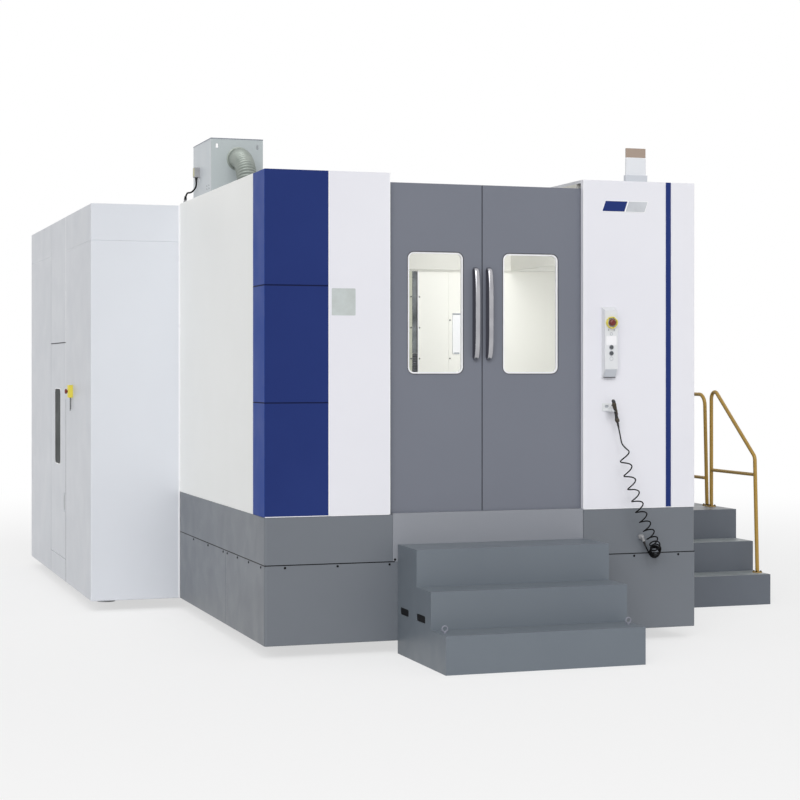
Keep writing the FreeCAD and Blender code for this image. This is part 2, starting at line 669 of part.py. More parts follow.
def slidingDoors():
    doors = {
        "left_door": (v.doorLeft - v.doorLap, v.doorSplit - v.sealWide / 2, v.leftWindowFrom,
                      v.leftWindowTo),
        "right_door": (v.doorSplit + v.sealWide / 2, v.doorRight + v.doorLap, v.rightWindowFrom,
                       v.rightWindowTo),
    }
    for name, values in doors.items():
        keep(name, doorLeaf(name, *values))
    keep("left_window", pane("left_window", v.leftWindowFrom, v.leftWindowTo))
    keep("right_window", pane("right_window", v.rightWindowFrom, v.rightWindowTo))
    keep("left_handle", handle("left_handle", v.leftHandleAt))
    keep("right_handle", handle("right_handle", v.rightHandleAt))
    bottom = bandZ + v.apronRise + v.railGap
    seal = box("door_seal", (v.doorSplit - v.sealWide / 2, v.doorSplit + v.sealWide / 2 - v.railGap),
               (v.doorRecess + 6, v.doorRecess + v.doorThick - 6), (bottom, hallTop - v.doorDrop))
    keep("door_seal", seal)

    sillTop = bandZ + v.apronRise
    railBack = v.doorRecess + v.doorThick + v.railGap
    pocketFront = v.pocketBack - v.pocketThick
    sill = box("door_sill", (v.boardThick * 2, v.hallWide - v.boardThick * 2),
               (v.boardThick, v.pocketBack), (sillTop - 30, sillTop))
    header = box("door_header", (v.boardThick * 2, v.hallWide - v.boardThick * 2),
                 (railBack, pocketFront), (hallTop - v.doorDrop - 50, hallTop - v.doorDrop - 5))
    sideRail = box("side_rail", (v.hallWide, v.hallWide + v.sideLeafGap + v.sideLeafThick + 5),
                   (v.sideDoorFrom - 60, v.sideDoorTo + v.sideRailRun),
                   (v.sideDoorHigh + 45, v.sideDoorHigh + 45 + v.sideRailHigh))
    keep("door_rails", group("door_rails", sill, header, sideRail))


def stationWalls():
    """Inner walls of the loading station: door pockets, loading collar and partition wings."""
    pocketFront = v.pocketBack - v.pocketThick
    sillTop = bandZ + v.apronRise
    under = hallTop - v.roofThick
    pocketRange = (pocketFront, v.pocketBack)
    leftPocket = box("pocket_left", (v.boardThick, v.doorLeft), pocketRange, (sillTop, under))
    rightPocket = box("pocket_right", (v.doorRight, rightInner), pocketRange, (sillTop, under))
    thick = v.pocketThick
    outer = box("collar_outer", (v.doorLeft - thick, v.doorRight + thick),
                (v.pocketBack, v.loadingDeep + thick), (v.collarLow, under))
    inner = box("collar_inner", (v.doorLeft, v.doorRight), (v.pocketBack - 10, v.loadingDeep),
                (v.collarLow - 10, under + 10))
    collar = cut("loading_collar", outer, inner)
    wingReach = pivotAcross - partitionHalf - v.wingGap
    wingRange = (v.pivotBack - v.boardThick / 2, v.pivotBack + v.boardThick / 2)
    leftWing = box("wing_left", (v.boardThick, wingReach), wingRange, (baseTop, v.collarLow))
    rightWing = box("wing_right", (pivotAcross + partitionHalf + v.wingGap, rightInner),
                    wingRange, (baseTop, v.collarLow))
    keep("station_walls", group("station_walls", leftPocket, rightPocket, collar, leftWing,
                                rightWing))


def palletChanger():
    """Column and set-up stand, lift ram, twin fork with its hub, partition and two pallets."""
    x, y = pivotAcross, v.pivotBack
    palletLow = v.palletTop - v.palletThick
    forkLow = palletLow - v.forkThick
    ramTop = forkLow - v.runGap
    columnTop = ramTop - v.ramShow - v.liftStroke
    column = rod("changer_column", (x, y, baseTop), v.columnRadius, columnTop - baseTop)
    bore = rod("changer_bore", (x, y, baseTop + 200), v.ramRadius + v.runGap, columnTop - baseTop)
    standTop = palletLow - v.liftStroke - v.runGap
    stand = rod("setup_stand", (x, y - v.palletReach, baseTop), v.standRadius,
                standTop - baseTop)
    beam = box("changer_beam", (x - 120, x + 120), (y - v.palletReach, y), (baseTop, baseTop + 150))
    keep("changer_base", cut("changer_base", fuse("changer_frame", column, stand, beam), bore))
    keep("lift_ram", rod("lift_ram", (x, y, baseTop + 200 + v.liftStroke + 5), v.ramRadius,
                         ramTop - (baseTop + 200 + v.liftStroke + 5)))

    reach = v.palletReach + v.palletSide / 2
    bars = []
    for side, low, high in (("left", x - v.forkInner - v.forkWide, x - v.forkInner),
                            ("right", x + v.forkInner, x + v.forkInner + v.forkWide)):
        bars.append(box(f"fork_{side}", (low, high), (y - reach, y + reach),
                        (forkLow, palletLow - v.runGap)))
    bridge = box("fork_bridge", (x - v.forkInner, x + v.forkInner), (y - v.hubRadius, y + v.hubRadius),
                 (forkLow, palletLow - v.runGap))
    keep("changer_arm", fuse("changer_arm", *bars, bridge))
    keep("partition", box("partition", (x - partitionHalf, x + partitionHalf),
                          (y - v.partitionThick / 2, y + v.partitionThick / 2),
                          (palletLow - v.runGap, v.collarLow - v.wingGap)))
    pallets = [pallet("pallet_front", y - v.palletReach), pallet("pallet_rear", y + v.palletReach)]
    keep("pallets", group("pallets", *pallets))


def pallet(name, middle):
    """A square pallet with an eased rim, a centre bore and four corner holes."""
    body = newBody(name)
    plan = newSketch(body, name + "_plan", "XY_Plane")
    side = v.palletSide
    outline(plan, [(0, 0), (side, 0), (side, side), (0, side)])
    plate = pad(body, name + "_plate", plan, v.palletThick)
    softened(body, name + "_corners", plate, v.palletEase * 4, lambda edge: runsAlong(edge, up))
    holes = newSketch(body, name + "_holes", "XY_Plane")
    low = (side - v.palletHoleSpacing) / 2
    for a in (low, side - low):
        for b in (low, side - low):
            ring(holes, a, b, v.palletHoleRadius)
    ring(holes, side / 2, side / 2, v.palletBoreRadius)
    pocket(body, name + "_bores", holes, v.palletThick, True)
    return place(body, pivotAcross - side / 2, middle - side / 2, v.palletTop - v.palletThick)


def machine():
    """Bed, table saddle and rotary table, column, headstock and spindle."""
    x = pivotAcross
    frontBed = box("bed_front", (x - v.bedWide / 2, x + v.bedWide / 2), (v.bedFront, v.bedRear),
                   (baseTop, v.bedTop))
    rearHalf = v.rearBedWide / 2
    rearBed = box("bed_rear", (x - rearHalf, x + rearHalf), (v.bedRear, v.rearBedEnd),
                  (baseTop, v.rearBedTop))
    parts = [frontBed, rearBed]
    for side, way in (("left", x - v.wayHalf), ("right", x + v.wayHalf)):
        parts.append(box(f"table_way_{side}", (way - v.wayWide / 2, way + v.wayWide / 2),
                         (v.bedFront, v.bedRear - 40), (v.bedTop, v.bedTop + v.wayHigh)))
    columnEnd = v.columnFront + v.columnDeep
    for side, way in (("front", v.columnFront + v.columnWayInset),
                      ("rear", columnEnd - v.columnWayInset)):
        parts.append(box(f"column_way_{side}", (x - rearHalf + v.wayEndInset, x + rearHalf - v.wayEndInset),
                         (way - v.wayWide / 2, way + v.wayWide / 2),
                         (v.rearBedTop, v.rearBedTop + v.wayHigh)))
    post = box("arm_post", (v.armAcross - v.armPostHalf, v.armAcross + v.armPostHalf),
               (v.bedRear + 40, v.bedRear + 40 + v.armBoxDeep), (v.rearBedTop, v.armHigh))
    case = rod("arm_case", (v.armAcross, v.bedRear + v.armCaseProud, v.armHigh), v.armBoxHalf,
               v.armBoxDeep + v.armCaseProud, "+Y")
    shaft = rod("arm_shaft", (v.armAcross, armFront, v.armHigh), v.armBore - v.runGap,
                v.armOut, "+Y")
    parts += [post, case, shaft]
    keep("bed", fuse("bed", *parts))

    slideTop = v.bedTop + v.wayHigh + v.runGap
    middle = v.pivotBack + v.palletReach
    half = v.saddleSide / 2
    keep("table_saddle", board("table_saddle", (x - half, x + half), (middle - half, middle + half),
                               (slideTop, slideTop + v.saddleHigh), front, left, right))
    tableLow = slideTop + v.saddleHigh + v.runGap
    tableTop = v.palletTop - v.palletThick - v.liftStroke - v.runGap
    keep("rotary_table", turnedTable("rotary_table", middle, tableLow, tableTop))

    columnLow = v.rearBedTop + v.wayHigh + v.runGap
    half = v.columnWide / 2
    block = box("column_block", (x - half, x + half), (v.columnFront, columnEnd),
                (columnLow, columnLow + v.columnHigh))
    slot = box("column_slot", (x - v.slotHalf, x + v.slotHalf),
               (v.columnFront - 10, columnEnd + 10), (columnLow + v.slotLow, columnLow + v.slotHigh))
    ways = []
    for side, edge in (("left", x - half), ("right", x + half - v.columnWayWide)):
        ways.append(box(f"head_way_{side}", (edge, edge + v.columnWayWide),
                        (v.columnFront - v.columnWayDeep, v.columnFront),
                        (columnLow + 60, columnLow + v.columnHigh - 60)))
    keep("column", fuse("column", cut("column_frame", block, slot), *ways))

    plateBack = v.columnFront - v.columnWayDeep - v.runGap
    plate = box("head_plate", (x - v.headPlateHalf, x + v.headPlateHalf),
                (plateBack - v.headPlateThick, plateBack),
                (v.spindleHigh - v.headPlateHigh / 2, v.spindleHigh + v.headPlateHigh / 2))
    block = box("head_block", (x - v.headHalf, x + v.headHalf),
                (v.headFront, v.headFront + v.headDeep),
                (v.spindleHigh - v.headHigh / 2, v.spindleHigh + v.headHigh / 2))
    nose = rod("head_nose", (x, v.headFront, v.spindleHigh), v.noseRadius, v.noseLong, "-Y")
    bore = rod("head_bore", (x, v.headFront, v.spindleHigh), v.spindleRadius + v.runGap,
               v.noseLong + 10, "-Y")
    keep("headstock", cut("headstock", fuse("head_body", plate, block, nose), bore))
    nosePlace = v.headFront - v.noseLong - v.spindleProud
    long = v.noseLong + v.spindleProud - v.runGap
    spindle = turned("spindle", "XY_Plane", "V_Axis", [
        (v.taperMouth, 0), (v.spindleRadius - 4, 0), (v.spindleRadius, 4), (v.spindleRadius, long),
        (0, long), (0, v.taperDeep), (v.taperEnd, v.taperDeep)])
    place(spindle, x, nosePlace, v.spindleHigh)
    keep("spindle", spindle)


def turnedTable(name, middle, low, high):
    """The rotary table: a stepped round platform with a locating rim."""
    radius = v.tableRadius
    tall = high - low
    body = turned(name, "XZ_Plane", "V_Axis", [
        (0, 0), (radius - 30, 0), (radius - 30, tall * 0.35), (radius, tall * 0.45),
        (radius, tall), (0, tall)])
    return place(body, pivotAcross, middle, low)


def toolStore():
    """The magazine wheel with its pots and tools, and the double change arm."""
    body = newBody("magazine_wheel_body")
    disc = newSketch(body, "wheel_disc", "YZ_Plane")
    ring(disc, 0, 0, v.wheelRadius)
    ring(disc, 0, 0, v.axleRadius)
    pad(body, "wheel_plate", disc, v.wheelThick)
    light = newSketch(body, "wheel_light", "YZ_Plane")
    ring(light, v.wheelRadius * 0.55, 0, v.lightening)
    cutter = pocket(body, "wheel_lightening", light, v.wheelThick, True)
    axis = [item for item in body.Origin.OriginFeatures if item.Role == "X_Axis"][0]
    holes = body.newObject("PartDesign::PolarPattern", "wheel_lightenings")
    holes.Originals = [cutter]
    holes.Axis = (axis, [""])
    holes.Angle = 360
    holes.Occurrences = 6
    body.Tip = holes
    doc.recompute()
    pot = newSketch(body, "wheel_pot", "YZ_Plane")
    ring(pot, v.potPitch, 0, v.potRadius)
    potPad = pad(body, "wheel_pot_pad", pot, v.wheelThick + v.potLong)
    pots = body.newObject("PartDesign::PolarPattern", "wheel_pots")
    pots.Originals = [potPad]
    pots.Axis = (axis, [""])
    pots.Angle = 360
    pots.Occurrences = int(v.potCount.number)
    body.Tip = pots
    place(body, v.wheelAcross - v.wheelThick / 2, v.wheelBack, v.wheelHigh)
    doc.recompute()
    tools = []
    start = v.wheelAcross + v.wheelThick / 2 + v.potLong
    for number in range(0, int(v.potCount.number), 2):
        angle = math.radians(360 / v.potCount.number * number)
        y = v.wheelBack + v.potPitch * math.cos(angle)
        z = v.wheelHigh + v.potPitch * math.sin(angle)
        flange = rod(f"tool_flange_{number}", (start, y, z), v.toolRadius * 1.3, v.toolLong / 5, "+X")
        shank = rod(f"tool_shank_{number}", (start, y, z), v.toolRadius, v.toolLong, "+X",
                    v.toolRadius * 0.35)
        tools += [flange, shank]
    keep("magazine_wheel", fuse("magazine_wheel", body, *tools))

    long, half = v.armHalf, v.armWide / 2
    y0, y1 = armFront, armFront + v.armThick
    bar = box("arm_bar", (v.armAcross - half, v.armAcross + half), (y0, y1),
              (v.armHigh - long, v.armHigh + long))
    hub = rod("arm_hub", (v.armAcross, armFront, v.armHigh), v.armWide * 0.9,
              v.armThick, "+Y")
    grips = [rod(f"arm_grip_{number}", (v.armAcross - half * number, armFront - 10,
                                        v.armHigh + long * number), v.gripRadius,
                 v.armThick + 20, "+Y") for number in (-1, 1)]
    hole = rod("arm_hole", (v.armAcross, armFront - 10, v.armHigh), v.armBore,
               v.armThick + 20, "+Y")
    keep("tool_change_arm", cut("tool_change_arm", cut("arm_notched",
                                cut("arm_notched_low", fuse("arm_blank", bar, hub), grips[0]),
                                grips[1]), hole))


def sideAndRear():
    """The operator's door and pendant on the right, the electrical cabinet at the rear."""
    out = v.hallWide + v.sideLeafGap
    lap = v.sideDoorLap
    leaf = box("side_leaf", (out, out + v.sideLeafThick),
               (v.sideDoorFrom - lap, v.sideDoorTo + lap),
               (bandZ + 9, v.sideDoorHigh + 45 - v.railGap))
    window = box("side_leaf_window", (out + v.sideLeafThick - 12, out + v.sideLeafThick + 10),
                 (v.sideDoorFrom + v.sideWindowInset, v.sideDoorTo - v.sideWindowInset),
                 (v.sideWindowLow, v.sideWindowHigh))
    leafCut = cut("side_leaf_cut", leaf, window)
    face = out + v.sideLeafThick
    gripFrom = v.sideDoorFrom + v.gripInset
    gripRange = (gripFrom, gripFrom + v.gripWide)
    lowLeg = v.gripLow + v.gripLegInset
    highLeg = v.gripHigh - v.gripLegInset - v.gripWide
    legs = [box(f"side_grip_leg_{number}", (face, face + v.gripOut), gripRange,
                (z, z + v.gripWide)) for number, z in enumerate((lowLeg, highLeg))]
    bar = box("side_grip", (face + v.gripOut, face + v.gripOut + v.gripThick), gripRange,
              (v.gripLow, v.gripHigh))
    keep("operator_door", fuse("operator_door", leafCut, *legs, bar))

    base = v.hallWide + v.pendantNeck
    neck = box("pendant_neck", (v.hallWide, base),
               (v.pendantFrom + v.pendantNeckInset, v.pendantTo - v.pendantNeckInset),
               (v.pendantLow + v.pendantNeckDrop, v.pendantHigh - v.pendantNeckDrop))
    case = board("pendant_case", (base, base + v.pendantDeep), (v.pendantFrom, v.pendantTo),
                 (v.pendantLow, v.pendantHigh), right)
    screen = box("pendant_screen", (base + v.pendantDeep - v.screenDeep, base + v.pendantDeep + v.screenDeep),
                 (v.pendantFrom + v.screenInset, v.pendantTo - v.screenInset),
                 (v.pendantHigh - v.screenDrop, v.pendantHigh - v.screenTopInset))
    keep("control_pendant", fuse("control_pendant", neck, cut("pendant_front", case, screen)))

    electricRight = v.electricLeft + v.electricWide
    wall = v.electricWall
    inBack = rearEnd - v.boardThick
    outer = box("electric_outer", (v.electricLeft, electricRight),
                (inBack - v.electricDeep, inBack), (baseTop, v.electricHigh))
    inner = box("electric_inner", (v.electricLeft + wall, electricRight - wall),
                (inBack - v.electricDeep + wall, inBack + 10), (v.electricLow + 20,
                                                                v.electricHigh - wall))
    shell = cut("electric_shell", outer, inner)
    modules = []
    step = (v.electricWide - v.driveInset * 2) / 5
    for number in range(5):
        start = v.electricLeft + v.driveInset + step * (number + 0.1)
        modules.append(box(f"drive_{number}", (start, start + step * 0.8),
                           (inBack - v.electricDeep + wall, inBack - v.electricDeep + v.driveDeep),
                           (v.driveLow, v.driveHigh)))
    keep("electrical_cabinet", fuse("electrical_cabinet", shell, *modules))
    gap = v.leafGap
    door = board("electrical_door", (v.electricLeft + v.runGap, electricRight - gap),
                 (inBack + v.runGap, rearEnd), (v.electricLow + gap, v.electricHigh - gap), rear)
    keep("electrical_door", door)
    body = turned("switch_knob", "XY_Plane", "V_Axis", [
        (0, 0), (v.switchRadius, 0), (v.switchRadius, v.switchProud * 0.4),
        (v.switchRadius * 0.4, v.switchProud * 0.5),
        (v.switchRadius * 0.4, v.switchProud - v.runGap), (0, v.switchProud - v.runGap)])
    across = electricRight - v.electricWall - 130
    place(body, across, rearEnd + v.runGap, v.switchHigh)
    lever = box("switch_lever", (across - 7, across + 7),
                (rearEnd + v.switchProud * 0.4, rearEnd + v.switchProud),
                (v.switchHigh - v.switchRadius * 0.9, v.switchHigh + v.switchRadius * 0.9))
    keep("main_switch", fuse("main_switch", body, lever))


def buttonStation():
    """The narrow housing with its shroud, stop button, two push buttons, and the gun's hook."""
    deep, high = v.stationDeep, v.stationHigh - v.stationLow
    body = newBody("station_body")
    side = newSketch(body, "station_side", "YZ_Plane")
    outline(side, [(deep, 0), (deep, high), (0, high - v.stationTopBevel), (0, v.stationChin),
                   (v.stationChinIn, 10)])
    pad(body, "station_case", side, v.stationWide)
    place(body, v.stationLeft, size(0) - deep, v.stationLow)
    x, face = v.stationButtonAcross, size(0) - deep
    stopWell = rod("stop_well", (x, face - 5, v.stationStopHigh),
                   v.stopRadius * 0.5 + v.buttonGap, v.stopTravel + 9, "+Y")
    wells = [rod(f"button_well_{number}", (x, face - 5, height), v.buttonRadius + v.buttonGap,
                 v.buttonProud + 5, "+Y")
             for number, height in enumerate((v.upperButtonHigh, v.lowerButtonHigh))]
    keep("station_housing", cut("station_housing", body, fuse("station_wells", stopWell, *wells)))

    shroud = rod("shroud_outer", (x, face, v.stationStopHigh), v.shroudRadius, v.shroudDeep, "-Y")
    hollow = rod("shroud_inner", (x, face + 5, v.stationStopHigh), v.shroudRadius - v.shroudWall,
                 v.shroudDeep + 10, "-Y")
    notches = []
    for number in range(2):
        notch = doc.addObject("Part::Box", f"shroud_notch_{number}")
        bind(notch, "Length", v.shroudRadius * 3)
        bind(notch, "Width", v.shroudDeep)
        bind(notch, "Height", v.shroudRadius * 0.5)
        turn = FreeCAD.Rotation(Vector(0, 1, 0), 45 + 90 * number)
        notch.Placement = FreeCAD.Placement(Vector(), turn)
        middle = turn.multVec(Vector(v.shroudRadius.number * 1.5, 0,
                                     v.shroudRadius.number * 0.25))
        place(notch, x - middle.x, face - v.shroudDeep * 1.55, v.stationStopHigh - middle.z)
        notches.append(notch)
    keep("stop_shroud", cut("stop_shroud", shroud, fuse("shroud_gaps", hollow, *notches)))
    profile = [(radius, along) for along, radius in
               mushroom(v.stopProud, v.stopRadius, v.stopTravel)]
    button = turned("stop_button", "XY_Plane", "V_Axis", profile)
    place(button, x, face - v.stopProud, v.stationStopHigh)
    keep("stop_button", button)
    for name, height in (("upper_button", v.upperButtonHigh), ("lower_button", v.lowerButtonHigh)):
        keep(name, rod(name, (x, face - v.buttonProud, height), v.buttonRadius,
                       v.buttonProud * 2 - v.buttonTravel - 0.5, "+Y"))

    hookRight = v.hookLeft + v.hookWide
    plate = box("hook_plate", (v.hookLeft, hookRight), (size(0) - v.hookThick, 0),
                (v.shelfHigh - v.shelfThick, v.shelfHigh + v.hookHigh * 1.8))
    eyeAcross, eyeHigh = v.hookLeft + v.hookWide * 0.45, v.shelfHigh + v.hookHigh
    holes = [rod(f"hook_hole_{number}", (eyeAcross + number, 5, eyeHigh), 9, size(20), "-Y")
             for number in (-5, 5)]
    slit = box("hook_hole_middle", (eyeAcross - 5, eyeAcross + 5), (-10, 5),
               (eyeHigh - 9, eyeHigh + 9))
    shelf = box("hook_shelf", (hookRight - 50, hookRight + 20), (size(0) - v.gunOut - 20, 0),
                (v.shelfHigh - v.shelfThick, v.shelfHigh))
    neck = v.gunAcross - (v.shelfHigh - v.gunLow) * math.tan(math.radians(v.gunTilt.number))
    notch = rod("hook_notch", (neck, size(0) - v.gunOut, v.shelfHigh - 10), size(10.5), size(20))
    mouth = box("hook_mouth", (neck - 10.5, neck + 10.5),
                (size(0) - v.gunOut - 30, size(0) - v.gunOut), (v.shelfHigh - 10, v.shelfHigh + 10))
    keep("gun_hook", cut("gun_hook", fuse("hook_blank", plate, shelf),
                         fuse("hook_gaps", *holes, slit, notch, mouth)))


def airGun():
    """The leaning air gun: turned handle and body, a short nozzle to the wall, and its trigger."""
    profile = [(0, 0), (7, 0), (13, 6), (15, 18), (11, 30), (9, 45), (8.5, 86), (10, 92),
               (13, 102), (14, 124), (12, 134), (8, 139), (9.5, 145), (7, 152), (0, 155)]
    edges = Part.makePolygon([Vector(radius, 0, height) for radius, height in profile]
                             + [Vector(0, 0, 0)])
    grip = Part.Face(edges).revolve(Vector(), Vector(0, 0, 1), 360)
    nozzle = Part.makeCone(6, 3.5, 42, Vector(0, 0, 116), Vector(0, 1, 0))
    gun = grip.fuse(nozzle)
    lug = Part.makeBox(6, 9, 12, Vector(-3, -21, 112))
    gun = gun.fuse(lug).removeSplitter()
    trigger = Part.makeBox(10, 3, 58, Vector(-5, -20.5, 52))
    eye = Part.makeBox(2, 6.5, 12, Vector(3.4, -20.5, 110))
    otherEye = Part.makeBox(2, 6.5, 12, Vector(-5.4, -20.5, 110))
    trigger = trigger.fuse([eye, otherEye]).removeSplitter()
    turn = FreeCAD.Rotation(Vector(0, 1, 0), -v.gunTilt.number)
    foot = at(v.gunAcross, size(0) - v.gunOut, v.gunLow)
    for name, shape in (("air_gun", gun), ("gun_trigger", trigger)):
        item = shaped(name, shape)
        item.Placement = FreeCAD.Placement(foot, turn)
        keep(name, item)


def biarc(start, startWay, end, endWay):
    """Two arcs that join smoothly and run from one point and heading to another."""
    across = end - start
    both = startWay + endWay
    spread = 2 * (1 - startWay.dot(endWay))
    if spread < 1e-9:
        reach = across.dot(across) / (4 * across.dot(endWay))
    else:
        along = across.dot(both)
        reach = (math.sqrt(along * along + spread * across.dot(across)) - along) / spread
    joint = (start + startWay * reach + end - endWay * reach) * 0.5
    arcs = []
    for first, corner, last in ((start, start + startWay * reach, joint),
                                (joint, end - endWay * reach, end)):
        chord = (first + last) * 0.5
        half = (last - first).Length / 2
        rise = (corner - chord).Length
        if rise < 1e-6:
            arcs.append((Part.LineSegment(first, last).toShape(), math.inf))
            continue
        turn = math.atan2(rise, half)
        middle = chord + (corner - chord).normalize() * (half * math.tan(turn / 2))
        arcs.append((Part.Arc(first, middle, last).toShape(), half / math.sin(turn)))
    return arcs


def coilPoint(steps, start, phase, radius):
    """A point of the spiral hose after some twenty-fourths of a turn, found along its axis."""
    spot = Vector(start)
    for step in range(steps + 1):
        now = step / 24
        tip = math.radians(min(max((now - 8) * 20, 0), 62))
        lean = math.radians(5.2 + 7 * min(now, 1) + 1.9 * min(now, 8)
                            + 1.5 * min(max(now - 8, 0), 3))
        out = math.radians(2.5) if now < 8 else 0
        heading = Vector(math.sin(lean) * math.cos(tip), math.sin(tip) - math.sin(out),
                         -math.cos(lean) * math.cos(tip)).normalize()
        if now < 8:
            pitch = 105 - 6.6 * now
        else:
            pitch = 46 - 6.5 * (now - 8) if now < 11.1 else 10.6
        if step < steps:
            spot += heading * (pitch / 24)
    tilt = lean + math.radians(6)
    normal = Vector(math.sin(tilt) * math.cos(tip), math.sin(tip),
                    -math.cos(tilt) * math.cos(tip)).normalize()
    across = normal.cross(Vector(0, 1, 0)).normalize()
    down = normal.cross(across)
    angle = math.pi * steps / 12 + phase
    return spot + across * (radius * math.cos(angle)) + down * (radius * math.sin(angle))


def airHose():
    """One unbroken hose: straight lead, open spiral, bundle, and the end up to the wall nut."""
    radius, coil = v.hoseRadius.number, v.coilRadius.number
    tilt = math.radians(v.gunTilt.number)
    foot = at(v.gunAcross, size(0) - v.gunOut, v.gunLow)
    headDown = Vector(math.sin(tilt), 0, -math.cos(tilt))
    leadEnd = foot + headDown * v.leadDrop.number
    axis = leadEnd + Vector(-5, -40, -35)
    phase = math.radians(-40)
    nut = at(v.couplingAcross, size(0) - v.couplingOut - 10, v.couplingHigh)
    outWay = Vector(0.35, 0, -0.94).normalize()
    points, ways = [leadEnd], [headDown]
    for steps in range(0, 376, 3):
        points.append(coilPoint(steps, axis, phase, coil))
        ahead = coilPoint(steps + 1, axis, phase, coil)
        behind = coilPoint(max(steps - 1, 0), axis, phase, coil)
        ways.append((ahead - behind).normalize())
    points.append(nut + outWay * 30)
    ways.append(outWay * -1)
    edges = [Part.LineSegment(foot, leadEnd).toShape()]
    least = math.inf
    for step in range(len(points) - 1):
        for edge, bend in biarc(points[step], ways[step], points[step + 1], ways[step + 1]):
            edges.append(edge)
            least = min(least, bend)
    wire = Part.Wire(edges)
    section = Part.Wire(Part.makeCircle(radius, foot, headDown))
    hose = wire.makePipeShell([section], True, False)
    samples = wire.discretize(Distance=5)
    gap = min((first - second).Length for number, first in enumerate(samples)
              for second in samples[number + 12:])
    expected = math.pi * radius * radius * wire.Length
    print(f"air hose: length {wire.Length:.0f}, least bend radius {least:.1f}, "
          f"least gap between turns {gap - radius * 2:.2f}, "
          f"volume over section times length {hose.Volume / expected:.4f}")
    keep("air_hose", shaped("air_hose", hose))

    wallNut = Part.makeCylinder(v.couplingRadius.number, v.couplingOut.number,
                                at(v.couplingAcross, 0, v.couplingHigh), front)
    throat = Part.makeCylinder(9, 10, nut + rear * 10, front)
    knee = Part.makeSphere(11, nut)
    outlet = Part.makeCylinder(9, 29.7, nut, outWay)
    return shaped("air_coupling", wallNut.fuse([throat, knee, outlet]).removeSplitter())


